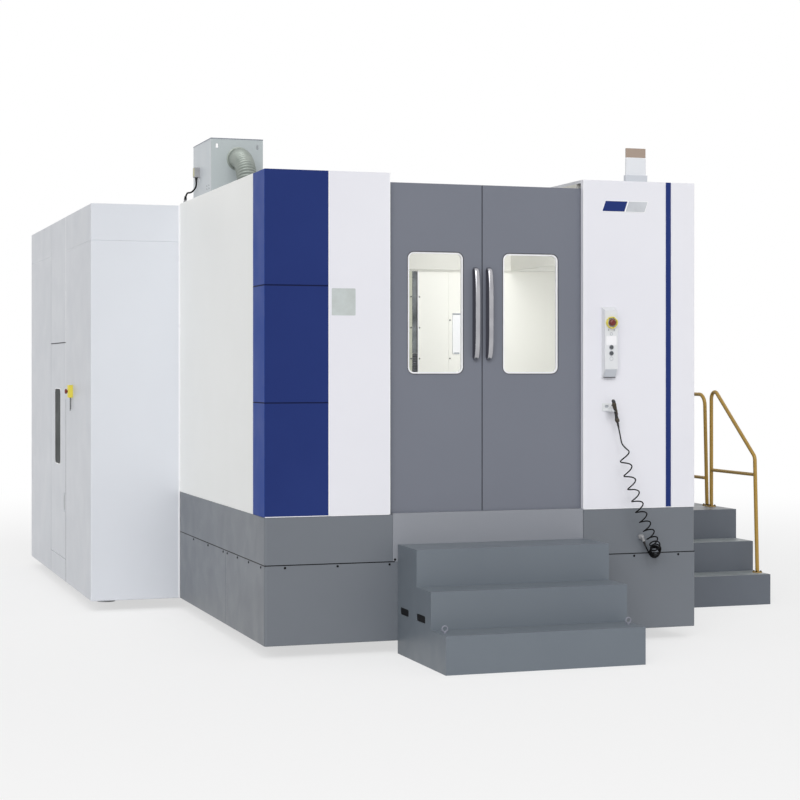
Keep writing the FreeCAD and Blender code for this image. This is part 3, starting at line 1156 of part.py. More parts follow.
def collector():
    """The mist collector box on the roof with its ribbed duct, plug and cable."""
    wall = v.boxWall
    boxRight, boxBack = v.boxLeft + v.boxWide, v.boxFront + v.boxDeep
    boxTop = hallTop + v.boxHigh
    outer = box("mist_outer", (v.boxLeft, boxRight), (v.boxFront, boxBack), (hallTop, boxTop))
    hollow = box("mist_hollow", (v.boxLeft + wall, boxRight - wall),
                 (v.boxFront + wall, boxBack - wall), (hallTop + v.filterHigh, boxTop + 10))
    duct = rod("mist_port", (v.ductAcross, v.boxFront - 5, v.ductHigh),
               v.ductRadius - v.ductWall, wall + 60, "+Y")
    slots = []
    half = v.slotHoleWide / 2
    for side, across in (("left", v.boxLeft + v.slotHoleInset),
                         ("right", boxRight - v.slotHoleInset + 2)):
        middle = boxTop - v.slotHoleDrop
        rise = (v.slotHoleHigh - v.slotHoleWide) / 2
        slots.append(box(f"mist_slot_{side}", (across - half, across + half),
                         (v.boxFront - 5, v.boxFront + wall + 5), (middle - rise, middle + rise)))
        for end, height in (("low", middle - rise), ("high", middle + rise)):
            slots.append(rod(f"mist_slot_{side}_{end}", (across, v.boxFront - 5, height), half,
                             wall + 10, "+Y"))
    keep("mist_collector", cut("mist_collector", outer,
                               fuse("mist_gaps", hollow, duct, *slots)))

    straight, bend = ductStraight.number, v.ductBend.number
    radius, rib = v.ductRadius.number, v.ductRib.number
    start = at(v.ductAcross, v.boxFront, v.ductHigh)
    arc = bend * math.pi / 2
    whole = straight * 2 + arc

    def station(distance, size_):
        """A circle round the duct's path, with its seam always on the same side."""
        if distance < straight:
            turn, spot = 0, start + Vector(0, -distance, 0)
        elif distance < straight + arc:
            turn = (distance - straight) / bend
            spot = start + Vector(0, -straight - bend * math.sin(turn),
                                  -bend * (1 - math.cos(turn)))
        else:
            turn = math.pi / 2
            spot = start + Vector(0, -straight - bend, -bend - (distance - straight - arc))
        circle = Part.makeCircle(size_)
        circle.rotate(Vector(), Vector(1, 0, 0), 90 + math.degrees(turn))
        circle.translate(spot)
        return Part.Wire(circle)

    ribs = int(v.ductRibs.number)
    step = whole / ribs
    wires = []
    for number in range(ribs):
        low = step * number
        wires += [station(low, radius - rib), station(low + step * 0.3, radius - rib),
                  station(low + step * 0.45, radius), station(low + step * 0.85, radius)]
    wires.append(station(whole, radius - rib))
    skin = Part.makeLoft(wires, True, True)
    stations = [0, straight] + [straight + arc * number / 8 for number in range(1, 9)] + [whole]
    bore = Part.makeLoft([station(value, radius - rib - v.ductWall.number) for value in stations],
                         True, True)
    keep("duct_hose", shaped("duct_hose", skin.cut(bore)))

    plug = board("cable_plug", (v.boxLeft - v.plugDeep, v.boxLeft),
                 (v.plugBack, v.plugBack + v.plugWide), (v.plugLow, v.plugLow + v.plugHigh), left)
    exitAcross, exitBack = v.boxLeft - v.plugDeep / 2, v.plugBack + v.plugWide / 2
    glandSpot = at(v.glandAcross, v.glandBack, hallTop + v.glandHigh / 2)
    low = at(v.glandAcross, v.glandBack - 44, hallTop + 77)
    toCable = (low - glandSpot).normalize()
    points = [at(exitAcross, exitBack, v.plugLow), at(exitAcross, exitBack, v.plugLow - 74),
              at(exitAcross - 27, exitBack + 58, v.plugLow - 112), low,
              glandSpot + toCable * v.glandHigh.number]
    radii = []
    for number in range(1, len(points) - 1):
        back, ahead = points[number - 1] - points[number], points[number + 1] - points[number]
        shorter = min(back.Length, ahead.Length)
        radii.append(0.45 * shorter * math.tan(back.getAngle(ahead) / 2))
    cable = tube(points, radii, v.cableRadius.number)
    print("collector cable: bend radii", [round(value, 1) for value in radii])
    keep("collector_cable", shaped("collector_cable", cable))
    flange = Part.makeCylinder(v.glandRadius.number, v.glandHigh.number / 2,
                               at(v.glandAcross, v.glandBack, hallTop), up)
    ball = Part.makeSphere(v.glandRadius.number * 0.8, glandSpot)
    neck = Part.makeCylinder(v.glandRadius.number * 0.75, v.glandHigh.number - 0.3, glandSpot,
                             toCable)
    ball = ball.common(Part.makeBox(80, 80, 80, at(v.glandAcross - 40, v.glandBack - 40, hallTop)))
    gland = shaped("cable_gland", flange.fuse([ball, neck]).removeSplitter())
    keep("fittings", group("fittings", plug, gland, airHose()))


def stairProfile(name, treads, width):
    """A folded stair as a solid block: one riser up at each tread."""
    body = newBody(name)
    sketch = newSketch(body, name + "_side", "YZ_Plane")
    points, along, high = [(0, 0)], size(0), size(0)
    for tread in treads:
        high = high + v.riser
        points += [(along, high), (along + tread, high)]
        along = along + tread
    points.append((along, 0))
    outline(sketch, points)
    pad(body, name + "_block", sketch, width)
    return body


def steps():
    """The front step with its hand-holes and eyes, the side stair with its platform and rails."""
    body = stairProfile("front_stair_body", (v.lowTread, v.midTread, v.topTread), v.stairWide)
    holes = newSketch(body, "hand_holes", "YZ_Plane")
    for number, middle in enumerate((stairDeep - v.handHoleNear, stairDeep - v.handHoleFar)):
        a, b = middle - v.handHoleWide / 2, middle + v.handHoleWide / 2
        c, d = v.handHoleRise - v.handHoleHigh / 2, v.handHoleRise + v.handHoleHigh / 2
        outline(holes, [(a, c), (b, c), (b, d), (a, d)])
    opening = pocket(body, "hand_hole_pockets", holes, v.handHoleDeep, True)

    def isHoleCorner(edge):
        middle = edge.CenterOfMass
        inside = abs(middle.z - v.handHoleRise.number) < v.handHoleHigh.number
        return runsAlong(edge, right) and inside and abs(edge.Length - v.handHoleDeep.number) < 1

    softened(body, "hand_hole_corners", opening, v.handHoleRound, isHoleCorner)
    place(body, v.stairLeft, size(0) - stairDeep, size(0))
    eyes = []
    for side, across in (("left", v.stairLeft + v.eyeInset),
                         ("right", v.stairLeft + v.stairWide - v.eyeInset)):
        back = size(0) - stairDeep + v.eyeBack
        foot = rod(f"eye_foot_{side}", (across, back, v.riser), v.eyeWire * 2.5, v.eyeFoot)
        loop = doc.addObject("Part::Torus", f"eye_ring_{side}")
        bind(loop, "Radius1", v.eyeRadius)
        bind(loop, "Radius2", v.eyeWire)
        loop.Placement = FreeCAD.Placement(Vector(), FreeCAD.Rotation(Vector(1, 0, 0), 90))
        place(loop, across, back, v.riser + v.eyeFoot + v.eyeRadius + v.eyeWire * 0.6)
        eyes.append(fuse(f"lifting_eye_{side}", foot, loop))
    keep("front_stair", body)
    keep("lifting_eyes", group("lifting_eyes", *eyes))

    rest = v.platformDeep - v.sideTread * 2
    flight = stairProfile("platform_body", (v.sideTread, v.sideTread, rest), v.platformWide)
    place(flight, v.hallWide, v.platformFrom, size(0))
    keep("platform", flight)

    top = v.riser * 3
    across = v.hallWide + v.platformWide - v.railInset
    lean = across + v.railLean
    radius, bend = v.railRadius.number, v.railBend.number
    railTop = top + v.railHigh - v.railRadius
    post = v.frontPostBack
    second, third, fourth = v.secondPostBack, v.thirdPostBack, v.rearPostBack
    postTop = v.riser + v.frontPostHigh
    foot = v.railFoot
    frontTube = tube([at(lean, post, v.riser + foot), at(across, post, postTop),
                      at(across, second, top + v.slopeTop), at(across, second, top + foot)],
                     [bend, bend], radius)
    rearTube = tube([at(lean, third, top + foot), at(across, third, railTop),
                     at(across, fourth, railTop), at(lean, fourth, top + foot)],
                    [bend * 1.5, bend * 1.5], radius)
    mids = []
    for name, near, far, height in (("front", post, second, v.riser + v.frontMidHigh),
                                    ("rear", third, fourth, top + v.rearMidHigh)):
        mids.append(rod(f"mid_rail_{name}", (across + 4, near, height), v.railRadius * 0.9,
                        far - near, "+Y"))
    flanges = []
    for number, (x, y, z) in enumerate(((lean, post, v.riser), (across, second, top),
                                        (lean, third, top), (lean, fourth, top))):
        flanges.append(rod(f"rail_flange_{number}", (x, y, z), v.flangeRadius, v.flangeThick))
    frontRail = fuse("front_handrail", shaped("front_rail_tube", frontTube), mids[0], *flanges[:2])
    rearRail = fuse("rear_handrail", shaped("rear_rail_tube", rearTube), mids[1], *flanges[2:])
    keep("handrails", group("handrails", frontRail, rearRail))


def statusLamp():
    """The square status lamp on the roof: wider foot, white body, tinted lens on top."""
    half, foot = v.lampWide / 2, v.lampFootWide / 2
    x, y = v.lampAcross, v.lampBack
    base = board("lamp_foot", (x - foot, x + foot), (y - foot, y + foot),
                 (hallTop, hallTop + v.lampFootHigh), up)
    bodyTop = hallTop + v.lampFootHigh + v.lampBodyHigh
    mast = box("lamp_mast", (x - half, x + half), (y - half, y + half),
               (hallTop + v.lampFootHigh, bodyTop))
    keep("lamp_body", fuse("lamp_body", base, mast))
    keep("lamp_lens", board("lamp_lens", (x - half, x + half), (y - half, y + half),
                            (bodyTop, bodyTop + v.lampLensHigh), up))


enclosure()
cabinet()
slidingDoors()
stationWalls()
palletChanger()
machine()
toolStore()
sideAndRear()
buttonStation()
airGun()
collector()
steps()
statusLamp()

doc.recompute()
for item in doc.Objects:
    if "Invalid" in item.State or "Error" in item.State:
        raise ValueError(f"{item.Name} is {item.State}")
for name, item in nodes.items():
    if item.Shape.isNull() or not item.Shape.isValid():
        raise ValueError(f"{name} has no good shape")
    item.Shape.exportStep(f"parts/{name}.step")
print(f"{len(nodes)} sub-parts written")
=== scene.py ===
import bpy
import bmesh
import math
import numpy as np
from mathutils import Matrix


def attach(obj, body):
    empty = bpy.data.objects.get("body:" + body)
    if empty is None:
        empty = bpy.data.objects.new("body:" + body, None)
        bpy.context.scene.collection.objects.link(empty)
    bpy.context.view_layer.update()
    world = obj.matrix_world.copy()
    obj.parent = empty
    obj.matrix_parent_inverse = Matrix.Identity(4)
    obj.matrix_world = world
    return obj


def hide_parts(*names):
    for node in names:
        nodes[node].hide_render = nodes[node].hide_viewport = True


# Looks for a horizontal machining centre. Metres, Z up, X to the right along the front.
# Places are given from the hall's front left foot and moved to the middle of the footprint.

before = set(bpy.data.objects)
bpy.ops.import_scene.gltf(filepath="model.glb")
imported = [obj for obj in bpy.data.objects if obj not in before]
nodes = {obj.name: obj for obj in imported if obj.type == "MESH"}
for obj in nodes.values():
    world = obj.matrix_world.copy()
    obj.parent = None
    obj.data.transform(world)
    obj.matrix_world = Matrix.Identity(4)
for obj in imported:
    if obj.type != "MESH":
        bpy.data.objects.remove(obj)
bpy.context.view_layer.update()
hallCorner = np.array((-1.832, -2.63175, 0.0))
print("frame loaded:", len(nodes), "nodes")


def fromHall(points):
    # hall places to the frame: add the place of the hall's front left foot
    return np.asarray(points, float) + hallCorner


# camera: 2.85 m left of the hall's corner, 11.2 m in front of it and 1.83 m up, looking level
cameraSettings = {"place": (-2.845, -11.231, 1.83), "turn": -18.42, "lens": 82.97, "drop": -0.0397}


def makeCamera(settings):
    data = bpy.data.cameras.new("camera")
    data.lens = settings["lens"]
    data.shift_y = settings["drop"]
    data.clip_end = 200
    camera = bpy.data.objects.new("camera", data)
    camera.location = fromHall(settings["place"])
    camera.rotation_euler = (math.pi / 2, 0, math.radians(settings["turn"]))
    bpy.context.scene.collection.objects.link(camera)
    bpy.context.scene.camera = camera


makeCamera(cameraSettings)


def putMesh(name, points, faces, finish, body, smooth=35):
    # a mesh from points and faces, doubles merged, faces turned outwards, riding on a body
    mesh = bpy.data.meshes.new(name)
    mesh.from_pydata(np.asarray(points, float).tolist(), [], [tuple(face) for face in faces])
    work = bmesh.new()
    work.from_mesh(mesh)
    bmesh.ops.remove_doubles(work, verts=work.verts, dist=1e-5)
    bmesh.ops.recalc_face_normals(work, faces=work.faces)
    work.to_mesh(mesh)
    work.free()
    mesh.shade_smooth()
    mesh.set_sharp_from_angle(angle=math.radians(smooth))
    piece = bpy.data.objects.new(name, mesh)
    bpy.context.scene.collection.objects.link(piece)
    mesh.materials.append(finish)
    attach(piece, body)
    return piece


def gridFaces(rows, cols, closeRows=False, closeCols=False):
    # quads of a grid whose point (row, col) has the number row * cols + col
    row = np.arange(rows if closeRows else rows - 1)[:, None]
    col = np.arange(cols if closeCols else cols - 1)[None, :]
    nextRow, nextCol = (row + 1) % rows, (col + 1) % cols
    quads = np.stack([row * cols + col, row * cols + nextCol, nextRow * cols + nextCol,
                      nextRow * cols + col], axis=-1)
    return quads.reshape(-1, 4)


def frameOf(way):
    # two directions square to a way, and the way itself, as the rows of a matrix
    way = np.asarray(way, float) / np.linalg.norm(way)
    side = np.cross((0, 0, 1), way) if abs(way[2]) < 0.9 else np.array((1.0, 0, 0))
    side = side / np.linalg.norm(side)
    return np.array((side, np.cross(way, side), way))


def lathe(profile, sides, start, way):
    # a profile of (radius, height) pairs turned round an axis: start + radius * (cos, sin) + height * way
    profile = np.asarray(profile, float)
    turn = np.linspace(0, 2 * np.pi, sides, endpoint=False)
    side, rise, ahead = frameOf(way)
    circle = np.cos(turn)[None, :, None] * side + np.sin(turn)[None, :, None] * rise
    points = profile[:, 0, None, None] * circle + profile[:, 1, None, None] * ahead + np.asarray(start, float)
    return points.reshape(-1, 3), gridFaces(len(profile), sides, closeCols=True)


def roundedPlate(wide, high, corner, layers, perCorner=6, shear=0.0):
    # layers of a rounded rectangle, each (inset, height): corner arcs about the shrunk corners' centres
    turn = (np.arange(4)[:, None] * np.pi / 2 + np.linspace(0, np.pi / 2, perCorner)).ravel()
    signX, signY = np.repeat(((1, 1), (-1, 1), (-1, -1), (1, -1)), perCorner, axis=0).T
    loops = []
    for inset, height in layers:
        radius = max(corner - inset, 1e-4)
        x = signX * (wide / 2 - inset - radius) + radius * np.cos(turn)
        y = signY * (high / 2 - inset - radius) + radius * np.sin(turn)
        loops.append(np.stack([x + shear * y / high, y, np.full_like(x, height)], axis=-1))
    count = 4 * perCorner
    faces = [tuple(face) for face in gridFaces(len(layers), count, closeCols=True)]
    faces += [tuple(range(count))[::-1], tuple(range((len(layers) - 1) * count, len(layers) * count))]
    return np.concatenate(loops), faces


def laid(points, start, across, up):
    # flat points (x, y, height) stood on a surface that has the given across and up directions
    across, up = np.asarray(across, float), np.asarray(up, float)
    out = np.cross(across, up)
    return points[:, :1] * across + points[:, 1:2] * up + points[:, 2:] * out + np.asarray(start)


def roundedRing(wide, high, corner, outer, inner, back, front):
    # a frame between two rounded rectangles that lie outer and inner in from the given one
    layers = [(outer, back), (outer, front), (inner, front), (inner, back)]
    return roundedPlate(wide, high, corner, layers)[0], gridFaces(4, 24, True, True)


def plate(wide, high, thick, corner=0.003, ease=0.0006, perCorner=3, shear=0.0):
    layers = [(0, -0.0008), (0, thick - ease), (ease, thick)]
    return roundedPlate(wide, high, corner, layers, perCorner, shear)


# the across and up directions of each face of the machine
sides = {"front": ((1, 0, 0), (0, 0, 1)), "left": ((0, -1, 0), (0, 0, 1)), "right": ((0, 1, 0), (0, 0, 1)),
         "rear": ((-1, 0, 0), (0, 0, 1)), "top": ((1, 0, 0), (0, 1, 0))}


def stuck(shape, middle, side):
    # a flat shape stood on a face of the machine, with its middle there
    return laid(shape[0], fromHall(middle), *sides[side]), shape[1]


def turnedOn(profile, count, middle, side):
    # a turned shape that stands out of a face of the machine
    return lathe(profile, count, fromHall(middle), np.cross(*sides[side]))


def screw(middle, side, radius, high, count=10):
    # a button head with its socket
    profile = [(0, -0.001), (radius, -0.001), (radius, high * 0.4), (radius * 0.75, high),
               (radius * 0.42, high), (radius * 0.36, high * 0.5), (0, high * 0.5)]
    return turnedOn(profile, count, middle, side)


def bolt(middle, side, radius, high):
    # a washer and a six-sided head
    washer = [(0, -0.0005), (radius * 1.5, 0), (radius * 1.5, 0.0015), (0, 0.0015)]
    head = [(0, 0), (radius, 0), (radius, high * 0.8), (radius * 0.82, high), (0, high)]
    return joined([turnedOn(washer, 14, middle, side), turnedOn(head, 6, middle, side)])


def joined(parts):
    # several (points, faces) pairs as one, each pair's numbers moved past those before it
    points, faces, past = [], [], 0
    for some, quads in parts:
        points.append(np.asarray(some, float))
        faces += [tuple(int(number) + past for number in quad) for quad in quads]
        past += len(some)
    return np.concatenate(points), faces


def addPiece(name, parts, finish, body="enclosure", smooth=35):
    return putMesh(name, *joined(parts), finishes[finish], body, smooth)


def addFlats(name, finish, rows, form, body="enclosure", shear=0.0):
    # flat pieces, each row its face, middle, width and height; their form is thickness, corner, eased edge
    parts = [stuck(plate(wide, high, *form, shear=shear), place, side) for side, place, wide, high in rows]
    addPiece(name, parts, finish, body)


def addTurned(name, finish, side, profile, count, places, body="enclosure"):
    # one turned shape at several places on a face
    addPiece(name, [turnedOn(profile, count, place, side) for place in places], finish, body)


def addRing(name, finish, side, place, size, body="enclosure"):
    addPiece(name, [stuck(roundedRing(*size), place, side)], finish, body)


def cordCurve(name, points, diameter, finish, body):
    # a smooth line that has the route's points as its control points, thick as the cord
    data = bpy.data.curves.new(name, "CURVE")
    data.dimensions = "3D"
    data.bevel_depth = diameter / 2
    data.bevel_resolution = 3
    data.resolution_u = 6
    spline = data.splines.new("NURBS")
    spline.points.add(len(points) - 1)
    spline.points.foreach_set("co", np.c_[points, np.ones(len(points))].ravel())
    spline.order_u = 3
    spline.use_endpoint_u = True
    data.materials.append(finish)
    piece = bpy.data.objects.new(name, data)
    bpy.context.scene.collection.objects.link(piece)
    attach(piece, body)
    return piece


def addNode(tree, kind, inputs=None, **settings):
    node = tree.nodes.new(kind)
    for field, value in settings.items():
        setattr(node, field, value)
    for socket, value in (inputs or {}).items():
        if isinstance(value, bpy.types.NodeSocket):
            tree.links.new(value, node.inputs[socket])
        else:
            node.inputs[socket].default_value = value
    return node


def newGroup(name, inputs):
    # a group that gives a colour, a roughness and a normal; an input's kind follows from its value's size
    kinds = {1: "NodeSocketFloat", 3: "NodeSocketVector", 4: "NodeSocketColor"}
    group = bpy.data.node_groups.new(name, "ShaderNodeTree")
    for label, value in inputs.items():
        kind = kinds[np.size(value)]
        group.interface.new_socket(label, in_out="INPUT", socket_type=kind).default_value = value
    for label, size in (("Colour", 4), ("Roughness", 1), ("Normal", 3)):
        group.interface.new_socket(label, in_out="OUTPUT", socket_type=kinds[size])
    return group, addNode(group, "NodeGroupInput").outputs, addNode(group, "NodeGroupOutput").inputs


def mapped(tree, value, low, high, toLow, toHigh):
    return addNode(tree, "ShaderNodeMapRange", {"Value": value, "From Min": low, "From Max": high,
                                                "To Min": toLow, "To Max": toHigh}).outputs["Result"]


def shaded(tree, first, second, share):
    return addNode(tree, "ShaderNodeMix", {0: share, 6: first, 7: second}, data_type="RGBA").outputs[2]


def combined(tree, operation, first, second):
    return addNode(tree, "ShaderNodeMath", {0: first, 1: second}, operation=operation).outputs[0]


def noise(tree, where, scale, detail, **more):
    inputs = {"Vector": where, "Scale": scale, "Detail": detail, **more}
    return addNode(tree, "ShaderNodeTexNoise", inputs).outputs["Fac"]


def bumped(tree, height, strength, distance):
    inputs = {"Height": height, "Strength": strength, "Distance": distance}
    return addNode(tree, "ShaderNodeBump", inputs).outputs["Normal"]


def makePaintGroup():
    # powder coat: slow clouds of tone, fine grain, orange peel, dust where it faces up, and painted light and
    # shade: faces that look left (-X) mix towards a second tone, lighter or darker
    group, given, out = newGroup("powderCoat", {
        "colour": (0.8, 0.8, 0.8, 1), "secondColour": (0.7, 0.7, 0.7, 1), "cloudSize": 0.7,
        "peelSize": 420.0, "peelDepth": 0.12, "glossLow": 0.35, "glossHigh": 0.5, "dust": 0.1,
        "leftTone": 0.0, "leftColour": (0.3, 0.32, 0.35, 1)})
    where = addNode(group, "ShaderNodeTexCoord").outputs["Object"]
    clouds = noise(group, where, given["cloudSize"], 4.0, Roughness=0.55)
    colour = shaded(group, given["colour"], given["secondColour"], mapped(group, clouds, 0.3, 0.7, 0, 1))
    normal = addNode(group, "ShaderNodeNewGeometry").outputs["Normal"]
    way = addNode(group, "ShaderNodeSeparateXYZ", {0: normal}).outputs
    # painted light and shade: faces that look left (-X) are mixed towards another colour, lighter or darker,
    # as light would fall on them
    paintedSideMask = mapped(group, way["X"], -0.7, -0.95, 0, 1)
    paintedSideShare = combined(group, "MULTIPLY", paintedSideMask, given["leftTone"])
    colour = shaded(group, colour, given["leftColour"], paintedSideShare)
    smudges = noise(group, where, 4.5, 6.0, Distortion=0.4)
    dusty = combined(group, "MULTIPLY", mapped(group, way["Z"], 0.6, 0.95, 0, 1), smudges)
    colour = shaded(group, colour, (0.62, 0.6, 0.56, 1), combined(group, "MULTIPLY", dusty, given["dust"]))
    spread = mapped(group, smudges, 0.3, 0.7, given["glossLow"], given["glossHigh"])
    peel = noise(group, where, given["peelSize"], 2.0)
    bump = bumped(group, peel, given["peelDepth"], 0.0004)
    for label, value in (("Colour", colour), ("Roughness", spread), ("Normal", bump)):
        group.links.new(value, out[label])
    return group


def makeMetalGroup():
    # machined metal: lines of grain along one axis, and soft stains of tone
    group, given, out = newGroup("machinedGrain", {
        "colour": (0.6, 0.6, 0.6, 1), "secondColour": (0.5, 0.5, 0.5, 1), "stretch": (30.0, 30.0, 900.0),
        "depth": 0.1, "glossLow": 0.2, "glossHigh": 0.4})
    where = addNode(group, "ShaderNodeTexCoord").outputs["Object"]
    along = addNode(group, "ShaderNodeVectorMath", {0: where, 1: given["stretch"]}, operation="MULTIPLY")
    grain = noise(group, along.outputs[0], 1.0, 3.0)
    stains = noise(group, where, 9.0, 5.0)
    colour = shaded(group, given["colour"], given["secondColour"], mapped(group, stains, 0.35, 0.65, 0, 1))
    spread = mapped(group, grain, 0.3, 0.7, given["glossLow"], given["glossHigh"])
    bump = bumped(group, grain, given["depth"], 0.0003)
    for label, value in (("Colour", colour), ("Roughness", spread), ("Normal", bump)):
        group.links.new(value, out[label])
    return group


paintGroup = makePaintGroup()
metalGroup = makeMetalGroup()


def linear(*shown):
    # a colour of 0 to 255 as seen on a screen to the light that a surface gives back
    share = np.array(shown, float) / 255
    low, high = share / 12.92, ((share + 0.055) / 1.055) ** 2.4
    return (*np.where(share <= 0.04045, low, high).tolist(), 1.0)


def finishOf(group, values, metallic=0.0, shine=0.5):
    # one of the groups above feeding a Principled shader; it gets its name from the list of finishes
    material = bpy.data.materials.new("finish")
    material.use_nodes = True
    tree = material.node_tree
    shader = tree.nodes["Principled BSDF"]
    pattern = addNode(tree, "ShaderNodeGroup", node_tree=group)
    for label, value in values.items():
        pattern.inputs[label].default_value = value
    for label, socket in (("Colour", "Base Color"), ("Roughness", "Roughness"), ("Normal", "Normal")):
        tree.links.new(pattern.outputs[label], shader.inputs[socket])
    shader.inputs["Metallic"].default_value = metallic
    shader.inputs["Specular IOR Level"].default_value = shine
    return material


def paint(colour, drop, gloss=(0.34, 0.46), dust=0.08, shine=0.5, **values):
    second = np.subtract(colour, drop)
    given = {"colour": linear(*colour), "secondColour": linear(*second), "glossLow": gloss[0],
             "glossHigh": gloss[1], "dust": dust, **values}
    return finishOf(paintGroup, given, shine=shine)


def metal(colour, drop, gloss=(0.2, 0.4), stretch=(30, 30, 900), depth=0.1, metallic=1.0):
    second = np.subtract(colour, drop)
    given = {"colour": linear(*colour), "secondColour": linear(*second), "glossLow": gloss[0],
             "glossHigh": gloss[1], "stretch": stretch, "depth": depth}
    return finishOf(metalGroup, given, metallic)


# the tone as seen on a screen, from 0 to 255, how much darker its second tone is, and what differs from
# the usual gloss, dust and grain, and any painted light or shade on faces that look left
finishes = {
    "greyPaint": paint((110, 115, 122), 4),
    "apronPaint": paint((142, 145, 152), (5, 5, 4)),
    "doorPaint": paint((113, 117, 128), 3),
    # bluePaint: faces that look left are painted a lighter blue, a painted sheen
    "bluePaint": paint((43, 59, 118), (5, 6, 8), gloss=(0.34, 0.44), shine=0.05, leftTone=0.9,
                       leftColour=linear(26, 65, 150)),
    "gapBlue": paint((24, 29, 62), (6, 6, 8), gloss=(0.6, 0.7), shine=0.1, dust=0.0),
    "whitePaint": paint((232, 232, 238), (4, 4, 3)),
    "roofPaint": paint((222, 223, 228), (6, 6, 5), gloss=(0.55, 0.65), shine=0.2, dust=0.15),
    # cabinetPaint: faces that look left are painted darker, painted shade
    "cabinetPaint": paint((218, 221, 227), 4, leftTone=0.24),
    "sidePaint": paint((247, 248, 246), 5),
    "innerPaint": paint((222, 221, 214), 7),
    "partitionPaint": paint((247, 246, 239), 7),
    "stationPaint": paint((226, 228, 230), (6, 6, 5)),
    "stepPaint": paint((108, 116, 124), (6, 6, 5), dust=0.05),
    # shadedPlatformPaint: a darker copy of stepPaint for the side stair's platform, painted shade
    "shadedPlatformPaint": paint((98, 104, 113), 6, dust=0.2),
    "treadSteel": metal((156, 162, 164), 14, (0.4, 0.55), (14, 260, 14), 0.3, 0.3),
    "railPaint": paint((182, 147, 74), (12, 11, 10), gloss=(0.3, 0.42), shine=0.35),
    # shadedCollectorPaint: a darker copy of electricPaint, painted shade, whose faces that look left are
    # painted lighter, painted light
    "shadedCollectorPaint": paint((186, 194, 195), (8, 8, 7), leftTone=0.5, leftColour=linear(218, 223, 230)),
    "electricPaint": paint((214, 218, 222), (8, 8, 7)),
    "lampWhite": paint((228, 230, 234), (6, 5, 4)),
    "lampGrey": paint((206, 210, 216), (8, 8, 7)),
    "lampLens": paint((168, 150, 136), 8, gloss=(0.15, 0.22)),
    "darkSteel": metal((72, 74, 78), 12, (0.35, 0.5)),
    "machinedSteel": metal((174, 176, 178), (8, 8, 7), (0.27, 0.36)),
    "polishedSteel": metal((182, 182, 186), (14, 14, 13), (0.12, 0.22), (600, 600, 6)),
    "aluminium": metal((186, 188, 190), (7, 7, 6), (0.32, 0.4)),
    "ductAluminium": metal((160, 166, 160), (18, 16, 16), (0.42, 0.55), metallic=0.7),
    "castGrey": paint((120, 124, 126), 14, gloss=(0.5, 0.65), peelSize=140.0, peelDepth=0.3),
    "fittingMetal": metal((172, 172, 174), 16, (0.45, 0.55), (60, 60, 60), 0.1, 0.3),
    "blackRubber": paint((34, 34, 36), 8, gloss=(0.6, 0.75)),
    "hoseRubber": paint((9, 9, 10), 3, gloss=(0.45, 0.55), shine=0.12, dust=0.0),
    "blackPlastic": paint((36, 37, 40), (8, 8, 9), gloss=(0.35, 0.5)),
    "screwBlack": paint((18, 18, 20), 5, gloss=(0.5, 0.6), shine=0.15, dust=0.0),
    "sealRubber": paint((80, 83, 90), 8, gloss=(0.6, 0.7), shine=0.15, dust=0.0),
    "eyePaint": paint((140, 142, 154), 10, dust=0.0),
    "seamShade": paint((52, 55, 60), 8, gloss=(0.6, 0.7), shine=0.15, dust=0.0),
    "zinc": metal((196, 198, 200), (12, 11, 10), (0.4, 0.5), (60, 60, 60), 0.1, 0.3),
    "darkPlastic": paint((58, 60, 64), 8, gloss=(0.35, 0.5)),
    "yellowPlastic": paint((232, 217, 84), (10, 12, 14), gloss=(0.25, 0.35)),
    "redPlastic": paint((122, 34, 28), (18, 8, 6), gloss=(0.22, 0.32)),
    "buttonGrey": paint((84, 88, 92), 12, gloss=(0.3, 0.4)),
    "gunBody": metal((70, 62, 50), (14, 12, 8), (0.35, 0.5), metallic=0.4),
    "trimWhite": paint((246, 246, 248), (4, 4, 3), gloss=(0.25, 0.35), dust=0.0),
    "trimGrey": paint((176, 180, 186), 8),
    "plateSilver": metal((204, 207, 212), 12, (0.3, 0.42), (700, 12, 12), 0.08, 0.5),
    "stripCream": paint((196, 198, 180), 10, dust=0.0),
    "stripSteel": metal((98, 102, 105), 48, (0.3, 0.5), (12, 12, 60), 0.25, 0.7),
    "darkPaneShade": paint((30, 38, 38), (12, 13, 13), gloss=(0.25, 0.35), shine=0.01, dust=0.0, cloudSize=2.2),
    "labelGrey": paint((196, 203, 202), (10, 11, 12), dust=0.0, cloudSize=18.0),
    "chinShadeGrey": paint((204, 208, 215), 6, dust=0.0),
    "lidGrey": paint((140, 144, 156), 8, dust=0.0),
    "stripYellow": paint((222, 216, 130), (10, 10, 12), dust=0.0),
    "handleShade": paint((62, 63, 74), 6, gloss=(0.5, 0.6), dust=0.0),
    "screenGlass": paint((24, 30, 40), (8, 10, 12), gloss=(0.06, 0.12), dust=0.0),
}
for name, material in finishes.items():
    material.name = name


def makeGlass():
    # clear pane with a faint green tint and a breath of smears in its gloss
    material = bpy.data.materials.new("windowGlass")
    material.use_nodes = True
    tree = material.node_tree
    shader = tree.nodes["Principled BSDF"]
    where = addNode(tree, "ShaderNodeTexCoord").outputs["Object"]
    smears = noise(tree, where, 3.0, 5.0)
    tree.links.new(mapped(tree, smears, 0.3, 0.7, 0.01, 0.05), shader.inputs["Roughness"])
    shader.inputs["Base Color"].default_value = (0.985, 0.995, 0.985, 1)
    shader.inputs["Transmission Weight"].default_value = 1.0
    shader.inputs["IOR"].default_value = 1.3
    return material


finishes["windowGlass"] = makeGlass()

